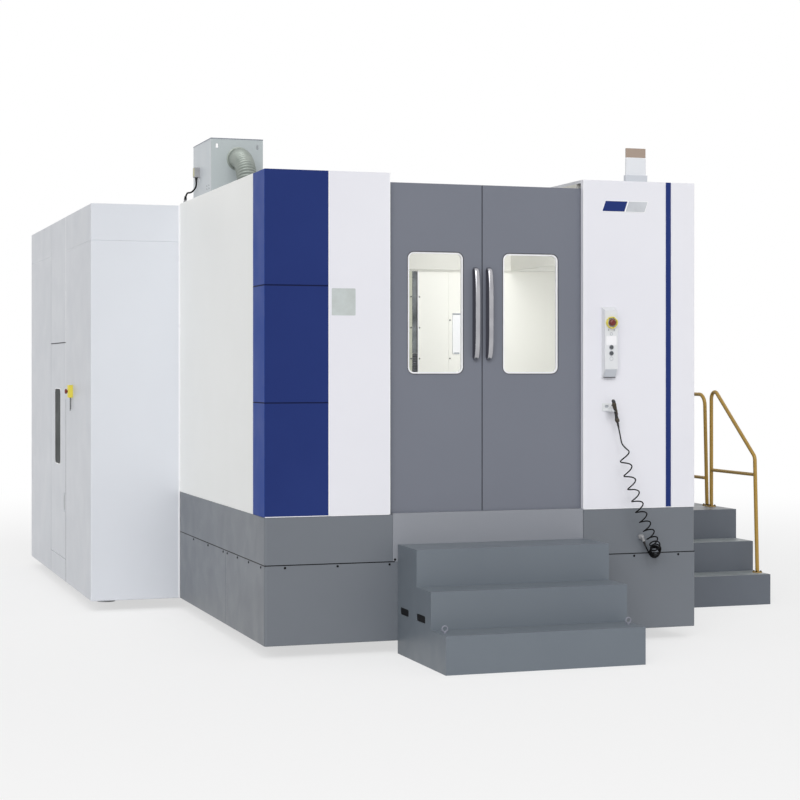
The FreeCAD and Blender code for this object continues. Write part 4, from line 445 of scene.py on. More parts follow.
nodeFinishes = {
    "greyPaint": "hall_base lower_skirts upper_bands",
    "apronPaint": "apron",
    "doorPaint": "left_door right_door door_rails",
    "bluePaint": "blue_panels",
    "whitePaint": "front_panels operator_door",
    "roofPaint": "roof_panels",
    "sidePaint": "side_panels",
    "cabinetPaint": "cabinet_panels magazine_door",
    "innerPaint": "station_walls",
    "partitionPaint": "partition",
    "stationPaint": "station_housing gun_hook",
    "stepPaint": "front_stair",
    "eyePaint": "lifting_eyes",
    "shadedPlatformPaint": "platform",
    "railPaint": "handrails",
    "shadedCollectorPaint": "mist_collector",
    "electricPaint": "electrical_cabinet electrical_door",
    "lampWhite": "lamp_body",
    "lampLens": "lamp_lens",
    "zinc": "levelling_feet",
    "machinedSteel": "spindle rotary_table pallets tool_change_arm lift_ram",
    "polishedSteel": "left_handle right_handle",
    "aluminium": "magazine_wheel",
    "ductAluminium": "duct_hose",
    "castGrey": "bed table_saddle column headstock changer_base changer_arm",
    "fittingMetal": "fittings",
    "sealRubber": "door_seal",
    "hoseRubber": "air_hose collector_cable",
    "buttonGrey": "upper_button lower_button",
    "blackPlastic": "magazine_latch",
    "darkPlastic": "control_pendant",
    "yellowPlastic": "stop_shroud cabinet_stop_box",
    "redPlastic": "stop_button cabinet_stop_button main_switch",
    "gunBody": "air_gun gun_trigger",
    "windowGlass": "left_window right_window",
}
for finish, names in nodeFinishes.items():
    for name in names.split():
        for place in nodes[name].material_slots:
            place.material = finishes[finish]
print("finishes made:", len(finishes))


airHose = {"foot": (2.4, -0.06, 1.47), "tilt": 12, "lead": 0.15, "offset": (-0.005, -0.04, -0.035),
           "phase": -40, "coilRadius": 0.034, "diameter": 0.009, "coupling": (2.594, -0.034, 0.7)}


def hoseRoute(settings):
    # a straight lead, then a helix: its axis is summed step by step from a lean in X, a tip in Y and a pitch,
    # and each point stands a coil radius off that axis, across * cos(turn) + drop * sin(turn)
    tilt = math.radians(settings["tilt"])
    foot = np.array(settings["foot"])
    down = np.array((math.sin(tilt), 0, -math.cos(tilt)))
    leadEnd = foot + down * settings["lead"]
    now = np.arange(376) / 24
    tip = np.radians(np.clip((now - 8) * 20, 0, 62))
    lean = 5.2 + 7 * np.minimum(now, 1) + 1.9 * np.minimum(now, 8) + 1.5 * np.clip(now - 8, 0, 3)
    out = np.where(now < 8, math.radians(2.5), 0)
    pitch = np.where(now < 8, 105 - 6.6 * now, np.where(now < 11.1, 46 - 6.5 * (now - 8), 10.6))
    angle = np.radians(lean)
    heading = np.stack((np.sin(angle) * np.cos(tip), np.sin(tip) - np.sin(out),
                        -np.cos(angle) * np.cos(tip)), -1)
    heading /= np.linalg.norm(heading, axis=1)[:, None]
    steps = heading * pitch[:, None] / 24000
    axis = leadEnd + np.array(settings["offset"]) + np.cumsum(steps, axis=0) - steps
    angle = np.radians(lean + 6)
    normal = np.stack((np.sin(angle) * np.cos(tip), np.sin(tip), -np.cos(angle) * np.cos(tip)), -1)
    across = np.cross(normal, (0, 1, 0))
    across /= np.linalg.norm(across, axis=1)[:, None]
    drop = np.cross(normal, across)
    turn = (2 * np.pi * now + math.radians(settings["phase"]))[:, None]
    coil = axis + settings["coilRadius"] * 1.012 * (np.cos(turn) * across + np.sin(turn) * drop)
    outWay = np.array((0.35, 0, -0.94))
    nut = np.array(settings["coupling"])
    start = [foot, foot + down * 0.05, foot + down * 0.11, leadEnd]
    end = [nut + outWay * 0.06, nut + outWay * 0.03]
    return fromHall(np.concatenate((start, coil[1::2], end)))


hoseLine = hoseRoute(airHose)
hose = cordCurve("airHose", hoseLine, airHose["diameter"], finishes["hoseRubber"], "enclosure")
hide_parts("air_hose")

collectorCable = {"diameter": 0.013,
                  "route": [(0.079, 2.39, 3.262), (0.079, 2.39, 3.225), (0.0785, 2.393, 3.188),
                            (0.052, 2.448, 3.15), (0.03, 2.522, 3.16), (0.03, 2.5535, 3.1125)]}
cableLine = fromHall(collectorCable["route"])
cable = cordCurve("collectorLead", cableLine, collectorCable["diameter"], finishes["hoseRubber"], "enclosure")
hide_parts("collector_cable")


def tubeAlong(path, ways, radii, sides):
    # a tube round a path: each ring is its radius times (cos, sin) on two directions square to the path
    turn = np.linspace(0, 2 * np.pi, sides, endpoint=False)
    ways = ways / np.linalg.norm(ways, axis=1)[:, None]
    side = np.tile((1.0, 0, 0), (len(path), 1))
    rise = np.cross(ways, side)
    circle = np.cos(turn)[None, :, None] * side[:, None] + np.sin(turn)[None, :, None] * rise[:, None]
    points = path[:, None] + np.asarray(radii)[:, None, None] * circle
    return points.reshape(-1, 3), gridFaces(len(path), sides, closeCols=True)


duct = {"across": 0.305, "front": 1.98, "high": 3.365, "straight": 0.02, "bend": 0.262, "radius": 0.0745,
        "rib": 0.01, "ribs": 22, "roof": 3.083}


def makeDuct(settings):
    # along a straight, a quarter circle and a straight down, round ribs with a narrow groove between each two
    straight, bend = settings["straight"], settings["bend"]
    arc = bend * math.pi / 2
    down = settings["high"] - bend - settings["roof"]
    long = straight + arc + down
    along = np.linspace(0, long, settings["ribs"] * 12 + 1)
    turn = np.clip((along - straight) / bend, 0, math.pi / 2)
    y = settings["front"] - np.minimum(along, straight) - bend * np.sin(turn)
    z = settings["high"] - bend * (1 - np.cos(turn)) - np.maximum(along - straight - arc, 0)
    path = np.stack((np.full_like(along, settings["across"]), y, z), -1)
    ways = np.stack((np.zeros_like(along), -np.cos(turn), -np.sin(turn)), -1)
    groove = 1 - np.abs(np.sin(along / long * settings["ribs"] * math.pi))
    outer = tubeAlong(path, ways, settings["radius"] - settings["rib"] * groove, 48)
    return putMesh("collectorDuct", fromHall(outer[0]), outer[1], finishes["ductAluminium"], "enclosure", 80)


ductPiece = makeDuct(duct)
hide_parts("duct_hose")
print("hose, cable and duct laid")

# thickness, corner radius and eased edge of the thin strips that stand for a seam, or for the painted
# highlight along a folded edge
seamForm = (0.0006, 0.002, 0.0002)
edgeForm = (0.0007, 0.002, 0.0002)

# screws in a row just under the skirts' seam, at places along each face, and one by the apron
seamScrews = {"front": (0.133, 0.478, 0.825, 2.55, 2.878), "apron": (0.862, 0, 0.603), "high": 0.573,
              "left": (0.09, 0.414, 0.727, 1.023, 1.144, 1.621, 2.109), "radius": 0.0078, "proud": 0.004}
heads = [((x, 0, seamScrews["high"]), "front") for x in seamScrews["front"]]
heads += [((0, y, seamScrews["high"]), "left") for y in seamScrews["left"]]
heads.append((seamScrews["apron"], "front"))
addPiece("seamScrews", [screw(*head, seamScrews["radius"], seamScrews["proud"]) for head in heads],
         "screwBlack")

# the dark gap between the skirts' two rows: face, middle, length
gap = {"high": 0.5895, "wide": 0.0065,
       "runs": (("front", 0.43, 0, 0.86), ("front", 2.596, 0, 0.808), ("left", 0, 1.302, 2.604),
                ("right", 3.0, 0.713, 1.426))}
rows = [(side, (x, y, gap["high"]), long, gap["wide"]) for side, x, y, long in gap["runs"]]
addFlats("skirtSeams", "screwBlack", rows, seamForm)

# pale strips where the front and side panels meet: painted highlight along the folded edges
edgeHighlight = {"front": (0.4215, 0.8268, 2.1812), "left": (0.3035, 2.596), "middle": 1.987, "tall": 2.19,
        "wide": 0.0055, "foot": 0.8945, "footHigh": 0.0045, "runs": ((0.415, 0.826), (2.5895, 0.819))}
rows = [("front", (x, 0, edgeHighlight["middle"]), edgeHighlight["wide"], edgeHighlight["tall"]) for x in edgeHighlight["front"]]
rows += [("front", (x, 0, edgeHighlight["foot"]), long, edgeHighlight["footHigh"]) for x, long in edgeHighlight["runs"]]
rows += [("left", (0, y, edgeHighlight["middle"]), edgeHighlight["wide"], edgeHighlight["tall"]) for y in edgeHighlight["left"]]
addFlats("panelEdgeHighlights", "trimWhite", rows, edgeForm)

# gaps between the sheets of the right side, the rear and the roofs, and the screws that hold the roof sheets
sheets = {"gap": 0.005, "right": (1.32, 4.02, 5.08), "rear": (0.26, 2.42), "roof": (3.79, 4.96)}
rows = [("right", (3.0, y, 1.985), sheets["gap"], 2.18) for y in sheets["right"]]
rows += [("rear", (x, 6.134, 1.575), sheets["gap"], 2.975) for x in sheets["rear"]]
rows += [("top", (1.162, y, 3.068), 3.66, sheets["gap"]) for y in sheets["roof"]]
addFlats("sheetGaps", "trimGrey", rows, seamForm)
roofScrews = {"across": np.linspace(-0.64, 2.964, 9), "back": (3.75, 3.83, 4.92, 5.0, 6.098), "high": 3.068,
              "radius": 0.0085, "proud": 0.0045, "sides": 8}
addPiece("roofScrews", [screw((x, y, roofScrews["high"]), "top", roofScrews["radius"], roofScrews["proud"],
                              roofScrews["sides"])
                        for x in roofScrews["across"] for y in roofScrews["back"]], "zinc")

# a rubber edge round each window and a white liner inside its hole
windows = {"left_leaf": (0.964, 1.344), "right_leaf": (1.624, 2.014), "low": 1.795, "high": 2.583,
           "corner": 0.042, "face": 0.047}
windowBands = {"Edge": ("darkPlastic", (-0.0045, -0.0003, -0.0005, 0.0016)),
               "Liner": ("trimWhite", (0.0004, 0.01, -0.0198, -0.0015))}
for body in ("left_leaf", "right_leaf"):
    start, end = windows[body]
    middle = ((start + end) / 2, windows["face"], (windows["low"] + windows["high"]) / 2)
    for name, (finish, band) in windowBands.items():
        addRing(body.split("_")[0] + "Window" + name, finish, "front", middle,
                (end - start, windows["high"] - windows["low"], windows["corner"], *band), body)

# door handles: a bow of flat oval bar, with a dark liner behind it and a dark plate on the door beside it,
# both painted shade for the bow's dark side and its shadow
bow = {"low": 1.8816, "high": 2.4904, "face": 0.047, "proud": 0.061, "power": 3.3, "steps": 72, "around": 24,
       "left_leaf": 1.428, "right_leaf": 1.521, "square": 0.7}
bowSections = {"Bow": {"inset": 0.0085, "wide": 0.032, "thick": 0.017},
               "BowShadeLiner": {"inset": 0.02, "wide": 0.025, "thick": 0.014}}
handleShadowPlate = {"wide": 0.033, "high": 0.596, "corner": 0.016,
               "layers": [(0, -0.0008), (0, 0.0006), (0.0004, 0.001)], "perCorner": 8}


def bowBar(across, inset, wide, thick):
    # a bow: with t going from -1 to 1 the bar stands out by (1 - |t|^power)^(1/power), and its section is a
    # rounded oblong wide across the door and thick along the bow's normal
    turn = np.linspace(-math.pi / 2, math.pi / 2, bow["steps"])
    reach, half = bow["proud"] - inset, (bow["high"] - bow["low"]) / 2 - inset
    out = np.abs(np.cos(turn)) ** (2 / bow["power"]) * reach
    up = np.sign(np.sin(turn)) * np.abs(np.sin(turn)) ** (2 / bow["power"]) * half
    path = np.stack((np.full_like(out, across), bow["face"] - out, (bow["high"] + bow["low"]) / 2 + up), -1)
    ways = np.gradient(path, axis=0)
    ways[0], ways[-1] = (0, -1, 0), (0, 1, 0)
    ways /= np.linalg.norm(ways, axis=1)[:, None]
    rise = np.cross(ways, (1.0, 0, 0))
    around = np.linspace(0, math.tau, bow["around"], endpoint=False)
    flat = np.sign(np.cos(around)) * np.abs(np.cos(around)) ** bow["square"] * wide / 2
    deep = np.sign(np.sin(around)) * np.abs(np.sin(around)) ** bow["square"] * thick / 2
    points = path[:, None] + flat[None, :, None] * np.array((1.0, 0, 0)) + deep[None, :, None] * rise[:, None]
    return fromHall(points.reshape(-1, 3)), gridFaces(bow["steps"], bow["around"], closeCols=True)


for body, node in (("left_leaf", "left_handle"), ("right_leaf", "right_handle")):
    across, side = bow[body], node.split("_")[0]
    bar = addPiece(side + "Bow", [bowBar(across, **bowSections["Bow"])], "polishedSteel", body, 50)
    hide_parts(node)
    addPiece(side + "BowShadeLiner", [bowBar(across, **bowSections["BowShadeLiner"])], "handleShade", body, 50)
    shape = stuck(roundedPlate(**handleShadowPlate), (across - 0.0015, bow["face"], 2.186), "front")
    addPiece(side + "HandleShadowPlate", [shape], "handleShade", body)

# covers on both faces of the turning partition, as the windows show them
cover = {"low": 1.163, "high": 2.527, "face": 1.315, "pivot": (1.5, 1.33)}


def bothFaces(shape, across, high):
    # a shape on the partition's front face, and again half a turn round the changer's axis
    points, faces = stuck(shape, (across, cover["face"], high), "front")
    again = points * (-1, -1, 1) + fromHall((*cover["pivot"], 0)) * (2, 2, 0)
    return joined([(points, faces), (again, faces)])


tall, middle = cover["high"] - cover["low"], (cover["high"] + cover["low"]) / 2
partitionCovers = {
    "creamStrip": ("stripCream", [(plate(0.059, tall, 0.004), 1.3945, middle)]),
    "steelStrip": ("stripSteel", [(plate(0.0372, 0.59, 0.003), 1.4431, 2.232)]),
    "whiteFlange": ("trimWhite", [(plate(0.008, tall, 0.016), 1.4662, middle)]),
    "whitePanels": ("partitionPaint", [(plate(0.228, tall, 0.003), 1.5855, middle),
                                       (plate(0.96, tall, 0.003), 2.182, middle)]),
    "hatch": ("trimWhite", [(plate(0.29, 0.285, 0.01, 0.006, 0.002), 1.875, 2.0745)]),
    # a grey hinge over the hatch, and a small grey plate under its lower left corner that is painted shadow
    "hatchHingeAndShadow": ("trimGrey", [(plate(0.286, 0.01, 0.013, 0.004, 0.002), 1.875, 2.223),
                                (plate(0.04, 0.012, 0.013), 1.762, 1.939)]),
    "partitionSeal": ("partitionPaint", [(plate(2.34, 0.0094, 0.008, 0.002, 0.001), 1.5, 2.5348)]),
}
for name, (finish, shapes) in partitionCovers.items():
    addPiece(name, [bothFaces(*shape) for shape in shapes], finish, "changer")

guard = {"half": 0.0186, "long": 0.77, "back": -0.0005, "high": 0.0035, "swing": 0.002, "ribs": 44,
         "rows": 221, "place": (1.4431, 1.55)}


def makeGuard():
    # ribs of the guard strip: its height swings as a cosine along its length
    along = np.linspace(0, 1, guard["rows"])[:, None]
    high = guard["high"] + guard["swing"] * np.cos(along * guard["ribs"] * math.tau)
    across = np.array((-1, -1, 1, 1)) * guard["half"]
    out = np.where((0, 1, 1, 0), high, guard["back"] * high)
    points = np.stack(np.broadcast_arrays(across, (along - 0.5) * guard["long"], out), -1).reshape(-1, 3)
    return points, gridFaces(guard["rows"], 4)


addPiece("guardStrip", [bothFaces(makeGuard(), *guard["place"])], "darkSteel", "changer")
coverBolt = roundedPlate(0.011, 0.011, 0.0054, [(0, 0), (0, 0.0065), (0.0015, 0.008)], 3)
boltPlaces = [(x, 2.344 - 0.2225 * row) for x in (1.4155, 1.4785) for row in range(5)]
boltPlaces += [(1.712, 2.178), (1.712, 1.9)]
addPiece("coverBolts", [bothFaces(coverBolt, x, z) for x, z in boltPlaces], "blackPlastic", "changer")

# the wall over the partition, left and right of the roof opening's collar
rows = [("front", (x, 1.3, 2.798), wide, 0.512) for x, wide in ((0.5715, 0.513), (2.4325, 0.505))]
addFlats("upperWalls", "partitionPaint", rows, (0.012,))

# the gaps between the blue corner's three panels
rows = [row for z in (1.611, 2.352) for row in (("front", (0.209, 0, z), 0.416, 0.0055),
                                                ("left", (0, 0.15, z), 0.298, 0.0055))]
addFlats("blueGaps", "gapBlue", rows, seamForm)

# bare nameplate and bare label place on the front
fieldForm = {"form": (0.0008, 0.002, 0.0002), "shear": 0.024}
addFlats("namePlateEdge", "trimWhite", [("front", (2.4835, 0, 2.912), 0.316, 0.076)], (0.0012,), shear=0.026)
addFlats("namePlateBlue", "bluePaint", [("front", (2.4085, -0.0012, 2.912), 0.16, 0.068)], **fieldForm)
addFlats("namePlateSilver", "plateSilver", [("front", (2.5675, -0.0012, 2.912), 0.138, 0.068)], **fieldForm)
addFlats("labelPlate", "labelGrey", [("front", (0.518, 0, 2.252), 0.158, 0.172)], (0.001, 0.005))

# button station: bare label, plain marks, two painted shadows under the shroud, bezels, a grey plate of
# painted shade on the chin's underside and its gasket
station = {"across": 2.357, "face": -0.055, "chin": (0.0165, 1.796), "slope": (0, -0.033, 0.06)}
x, y = station["across"], station["face"]


def thinRing(inner, outer):
    return [(inner, -0.0002), (inner, 0.0012), (outer, 0.0012), (outer, -0.0002)]


addFlats("stationLabel", "trimWhite", [("front", (x, y, 2.014), 0.074, 0.062)], (0.0007, 0.006, 0.0002))
# two small grey dashes under the stop's shroud are painted shadows of its notches
notchShadow = plate(0.007, 0.014, 0.0012, 0.002, 0.0003)
addPiece("stationMarksAndShadows", [turnedOn(thinRing(0.0078, 0.0106), 24, (x, y, 2.0575), "front"),
                          *[stuck(notchShadow, (x + side * 0.021, y, 2.084), "front") for side in (-1, 1)],
                          turnedOn(thinRing(0.0112, 0.0132), 24, (x, y, 1.893), "front")], "trimGrey")
bezel = [(0.0126, -0.0005), (0.0126, 0.0024), (0.014, 0.0034), (0.016, 0.0024), (0.0166, -0.0005)]
addTurned("buttonBezels", "trimGrey", "front", bezel, 28, [(x, y, z) for z in (1.97, 1.93)])
slope = np.array(station["slope"]) / np.linalg.norm(station["slope"])
# finish, width, height, thickness, place along the slope
# the chin plate is painted shade on the chin's sloping underside
chin = {"chinShadePlate": ("chinShadeGrey", 0.082, 0.056, 0.0012, 0.002),
        "chinGasket": ("darkPlastic", 0.088, 0.005, 0.002, -0.0302)}
for name, (finish, wide, high, thick, along) in chin.items():
    points, faces = plate(wide, high, thick, 0.002, 0.0004)
    start = fromHall((x, y + station["chin"][0], station["chin"][1])) + slope * along
    addPiece(name, [(laid(points, start, (1, 0, 0), slope), faces)], finish)
# a grey oval on the hook's plate, painted shade standing for its hole
hookEyeShade = roundedPlate(0.0275, 0.0175, 0.0087, [(0, 0), (0.0005, 0.001)])
addPiece("hookEyeShade", [stuck(hookEyeShade, (2.3468, 0, 1.576), "front")], "trimGrey")

# air gun: dark cap and grip sleeve about its leaning axis, and a tapered sleeve where the hose leaves it
tilt = math.radians(airHose["tilt"])
lean = np.array((-math.sin(tilt), 0, math.cos(tilt)))
gunFoot = fromHall(airHose["foot"])
gunParts = {
    "gunCap": ("blackPlastic", [(0.0124, 0.134), (0.0131, 0.14), (0.0124, 0.146), (0.01, 0.152),
                                (0.005, 0.1562), (0, 0.1565)]),
    "gunSleeve": ("blackRubber", [(0.0118, 0.026), (0.0122, 0.03), (0.0102, 0.046), (0.0096, 0.06),
                                  (0.0096, 0.08), (0.0106, 0.09), (0.01, 0.093)]),
    "gunNeckRing": ("gunBody", [(0.0128, 0.004), (0.0154, 0.01), (0.016, 0.015), (0.0154, 0.02),
                                (0.0128, 0.025)]),
}
for name, (finish, profile) in gunParts.items():
    addPiece(name, [lathe(profile, 24, gunFoot, lean)], finish)


def sleeve(start, way, wide, slim, long):
    # a strain relief: its radius falls in a straight line and dips in five grooves
    along = np.linspace(0, 1, 41)
    radius = wide + (slim - wide) * along - 0.0006 * (np.cos(along * 5 * math.tau) < -0.3)
    profile = np.concatenate((((0, 0),), np.c_[radius, along * long], ((0, long),)))
    return lathe(profile, 20, start, way)


# foot, direction, first radius, last radius, length
reliefs = [(gunFoot, -lean, 0.0088, 0.0056, 0.04),
           (fromHall((2.6045, -0.034, 0.6718)), (0.35, 0, -0.94), 0.0092, 0.0056, 0.036),
           (fromHall((0.079, 2.39, 3.263)), (0, 0, -1), 0.0115, 0.0075, 0.034),
           (fromHall((0.03, 2.5535, 3.1085)), (0, -0.12, 1), 0.012, 0.0075, 0.028)]
addPiece("strainReliefs", [sleeve(*relief) for relief in reliefs], "blackRubber")

# handrail flange bolts
flanges = ((4.362, 1.566, 0.241), (4.34, 2.279, 0.707), (4.362, 2.395, 0.707), (4.362, 3.75, 0.707))
flangeBolt = {"offset": 0.0195, "radius": 0.0065, "high": 0.009}
places = [(x + a * flangeBolt["offset"], y + b * flangeBolt["offset"], z)
          for x, y, z in flanges for a in (-1, 1) for b in (-1, 1)]
addPiece("flangeBolts", [bolt(place, "top", flangeBolt["radius"], flangeBolt["high"]) for place in places],
         "screwBlack")

# black sheets inside the front stair's hand-holes, painted shade for their dark insides
insides = roundedPlate(0.164, 0.045, 0.0136, [(0, -0.056), (0, -0.0045), (0.0005, -0.004)])
addPiece("handHoleShades", [stuck(insides, (0.88, y, 0.282), "left") for y in (-0.136, -0.454)],
         "screwBlack")

# galvanised plates on the side stair's treads
rows = [("top", (3.7, y, z), 1.384, 0.262) for y, z in ((1.567, 0.233), (1.839, 0.466))]
addFlats("treadPlates", "treadSteel", rows, (0.002,))

# status lamp: a thin upright box on a wider foot, its lens above a bright line
lampAt = {"across": 2.596, "front": 0.0675, "foot": 3.083, "neck": 3.131, "lens": 3.25, "top": 3.313}


def uprightBox(low, high, wide, deep, front, corner):
    # a rounded oblong carried upwards, with eased edges at both ends
    ease = 0.0015
    layers = [(ease, low), (0, low + ease), (0, high - ease), (ease, high)]
    return stuck(roundedPlate(wide, deep, corner, layers), (lampAt["across"], front + deep / 2, 0), "top")


# finish, then low, high, wide, deep, front and corner of the box
lampParts = {
    "lampFoot": ("lampGrey", (lampAt["foot"], lampAt["neck"], 0.162, 0.034, 0.058, 0.004)),
    "lampCase": ("lampWhite", (lampAt["neck"] - 0.001, lampAt["lens"] - 0.004, 0.146, 0.018,
                               lampAt["front"] - 0.001, 0.003)),
    "lampLine": ("trimWhite", (lampAt["lens"] - 0.0045, lampAt["lens"] + 0.0005, 0.142, 0.0165,
                               lampAt["front"], 0.003)),
    "lampTop": ("lampLens", (lampAt["lens"], lampAt["top"], 0.144, 0.0175, lampAt["front"], 0.003)),
}
lampFoot, lampCase, lampLine, lampTop = [addPiece(name, [uprightBox(*size)], finish)
                                         for name, (finish, size) in lampParts.items()]
for piece, node in ((lampFoot, "lamp_body"), (lampCase, "lamp_body"), (lampLine, "lamp_body"),
                    (lampTop, "lamp_lens")):
    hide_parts(node)

# duct collars, lid edge, black dots of painted shade for small holes, and the plug's bare strip on the mist
# collector
collar = [(0.0745, -0.0005), (0.088, -0.0005), (0.088, 0.004), (0.08, 0.0055), (0.08, 0.014), (0.0745, 0.014)]
ductFoot = duct["front"] - duct["straight"] - duct["bend"]
ductEnds = (((duct["across"], duct["front"], duct["high"]), "front"),
            ((duct["across"], ductFoot, duct["roof"]), "top"))
addPiece("ductCollars", [turnedOn(collar, 48, *end) for end in ductEnds], "ductAluminium")
addRing("lidEdge", "lidGrey", "top", (0.295, 2.285, 3.515),
        (0.39, 0.61, 0.003, -0.0022, 0.018, -0.006, -0.0003))
addPiece("caseHoleShades", [screw((0.1, y, z), "left", 0.006, 0.0008)
                       for y in (2.048, 2.116) for z in (3.15, 3.173)], "screwBlack")
addFlats("plugStrip", "stripYellow", [("left", (0.058, 2.377, 3.2985), 0.02, 0.062)], (0.001, 0.002, 0.0003))

# cabinet: a dark sheet in the door's slit, painted shade for the dark inside seen through its pane, with a
# pale edge that is a painted highlight
addFlats("slitPane", "darkPaneShade", [("left", (-0.6715, 4.392, 1.345), 0.329, 0.625)], (0.003, 0.043, 0.001, 6),
         "magazine_leaf")
addRing("slitEdgeHighlight", "trimWhite", "left", (-0.676, 4.392, 1.345),
        (0.33, 0.626, 0.044, -0.006, 0.001, -0.004, 0.0008), "magazine_leaf")

# cabinet seams: a white line over the door's front edge, a painted highlight, a dark gap below it, a grey one
# behind the door, a shaded one over it, and a white strip where the cabinet meets the hall, a painted
# highlight
# finish, width, then depth, low and high end of the line
cabinetFace = -0.676
cabinetLines = {"cabinetSeamHighlight": ("trimWhite", 0.008, (3.919, 1.7, 3.066)),
                "cabinetDarkSeam": ("seamShade", 0.005, (3.919, 0.085, 1.58)),
                "cabinetRearSeam": ("trimGrey", 0.005, (4.803, 0.085, 3.066))}
for name, (finish, wide, (y, low, high)) in cabinetLines.items():
    addFlats(name, finish, [("left", (cabinetFace, y, (low + high) / 2), wide, high - low)], edgeForm)
addFlats("cabinetTopSeam", "seamShade", [("left", (cabinetFace, 4.361, 2.0415), 0.876, 0.006)], edgeForm)
addFlats("cabinetCornerHighlight", "trimWhite", [("front", (-0.0055, 2.611, 1.5755), 0.011, 2.98)],
         (0.006, 0.003, 0.002))


def chain(top, count, size):
    # links set in turn across and along the wall: ring points (big + small * cos, small * sin)
    turn = np.linspace(0, math.tau, 5, endpoint=False)
    profile = np.c_[size + size * 0.3 * np.cos(turn), size * 0.3 * np.sin(turn)]
    links = []
    for number in range(count):
        way = (1, 0, 0) if number % 2 else (0, 1, 0)
        points, _ = lathe(profile, 8, fromHall(top) - (0, 0, number * size * 1.7), way)
        links.append((points, gridFaces(5, 8, True, True)))
    return joined(links)


# two small chains under the stop box
chains = {"across": -0.69, "top": 1.594, "size": 0.0042, "hang": ((3.546, 13), (3.578, 15))}
addPiece("stopChains", [chain((chains["across"], y, chains["top"]), links, chains["size"])
                        for y, links in chains["hang"]], "darkSteel")

# nuts on the levelling feet
feet = [(x, y) for x in (0.22, 1.5, 2.78) for y in (0.64, 1.5666, 3.251, 4.7248, 5.914)]
feet += [(-0.456, y) for y in (3.251, 4.7248, 5.914)]
nut = [(0.02, 0), (0.031, 0), (0.034, 0.003), (0.034, 0.017), (0.031, 0.02), (0.02, 0.02)]
addTurned("footNuts", "zinc", "top", nut, 6, [(x, y, 0.03) for x, y in feet])

# threaded bushes in the pallets' tops, 160 mm apart, and the ring in the middle
pallet = {"across": 1.5, "back": (0.61, 2.05), "top": 1.29, "step": 0.16, "clear": 0.1, "corner": 0.63}
grid = np.arange(-2, 3) * pallet["step"]
bushes = [(pallet["across"] + a, y + b, pallet["top"]) for y in pallet["back"] for a in grid for b in grid
          if max(abs(a), abs(b)) > pallet["clear"] and abs(a) + abs(b) < pallet["corner"]]
rim = [(0.0105, -0.0004), (0.0105, 0.0007), (0.0068, 0.0007), (0.006, 0.0001), (0, 0.0001)]
boreRing = [(0.0254, -0.0005), (0.0254, 0.0008), (0.038, 0.0008), (0.0385, -0.0005)]
addPiece("palletBushes", [turnedOn(rim, 12, place, "top") for place in bushes]
         + [turnedOn(boreRing, 40, (pallet["across"], y, pallet["top"]), "top") for y in pallet["back"]],
         "darkSteel", "changer")

# wipers where the saddle and the column run on their ways
wiper = (0.012, 0.004, 0.002)
rows = [(side, (x, y, 0.772), 0.11, 0.06)
        for x in (1.15, 1.85) for y, side in ((1.55, "front"), (2.55, "rear"))]
addFlats("saddleWipers", "blackRubber", rows, wiper, "saddle")
rows = [(side, (x, y, 0.834), 0.11, 0.06)
        for y in (4.02, 4.68) for x, side in ((1.0, "left"), (2.0, "right"))]
addFlats("columnWipers", "blackRubber", rows, wiper, "column_unit")

# magazine: a dark sleeve in the mouth of each pot, and black tool shanks
wheel = {"middle": (4.37, 1.65), "pitch": 0.925, "count": 24, "mouth": -0.19}
turns = np.arange(wheel["count"]) * math.tau / wheel["count"]
potPlaces = [(wheel["mouth"], wheel["middle"][0] + wheel["pitch"] * math.cos(turn),
              wheel["middle"][1] + wheel["pitch"] * math.sin(turn)) for turn in turns]
mouth = [(0.0405, -0.0005), (0.0485, -0.008), (0.05, -0.008), (0.05, 0.003), (0.0405, 0.003)]
addTurned("potMouths", "blackPlastic", "right", mouth, 20, potPlaces, "wheel")
shank = [(0.0312, 0.031), (0.03, 0.045), (0.0262, 0.075), (0.0262, 0.1), (0.018, 0.125), (0.018, 0.149),
         (0, 0.151)]
addTurned("toolShanks", "darkSteel", "right", shank, 16, potPlaces[::2], "wheel")

# spindle nose: bolts round the head's ring and two drive keys
nose = {"across": 1.5, "high": 1.55, "ring": 3.48, "face": 3.455, "pitch": 0.115, "count": 8, "keys": 0.0495}
ringTurns = (np.arange(nose["count"]) + 0.5) * math.tau / nose["count"]
boltPlaces = [(nose["across"] + nose["pitch"] * math.cos(turn), nose["ring"],
               nose["high"] + nose["pitch"] * math.sin(turn)) for turn in ringTurns]
addPiece("noseBolts", [screw(place, "front", 0.009, 0.006, 12) for place in boltPlaces], "darkSteel", "head")
rows = [("front", (nose["across"] + side * nose["keys"], nose["face"], nose["high"]), 0.024, 0.018)
        for side in (-1, 1)]
addFlats("driveKeys", "darkSteel", rows, (0.008, 0.002, 0.001), "spindle_unit")

# control pendant on the right side: screen, keys, two knobs and a stop button
panel = {"face": 3.32, "screen": (3.314, 1.625, 2.13), "firstKey": (1.425, 1.7), "keyPitch": (0.044, 0.038),
         "knobs": 1.8, "knobsHigh": (1.86, 1.775), "stopHigh": 1.67}
addFlats("pendantScreen", "screenGlass", [("right", panel["screen"], 0.404, 0.314)], (0.004, 0.006, 0.001))
key = roundedPlate(0.034, 0.026, 0.004, [(0, 0), (0, 0.003), (0.0015, 0.0045)], 2)
addPiece("pendantKeys", [stuck(key, (panel["face"], panel["firstKey"][0] + panel["keyPitch"][0] * col,
                                     panel["firstKey"][1] + panel["keyPitch"][1] * row), "right")
                         for col in range(7) for row in range(6)], "trimGrey")
knob = [(0, 0), (0.024, 0), (0.024, 0.006), (0.019, 0.008), (0.017, 0.024), (0.014, 0.027), (0, 0.027)]
addTurned("pendantKnobs", "blackPlastic", "right", knob, 24,
          [(panel["face"], panel["knobs"], z) for z in panel["knobsHigh"]])
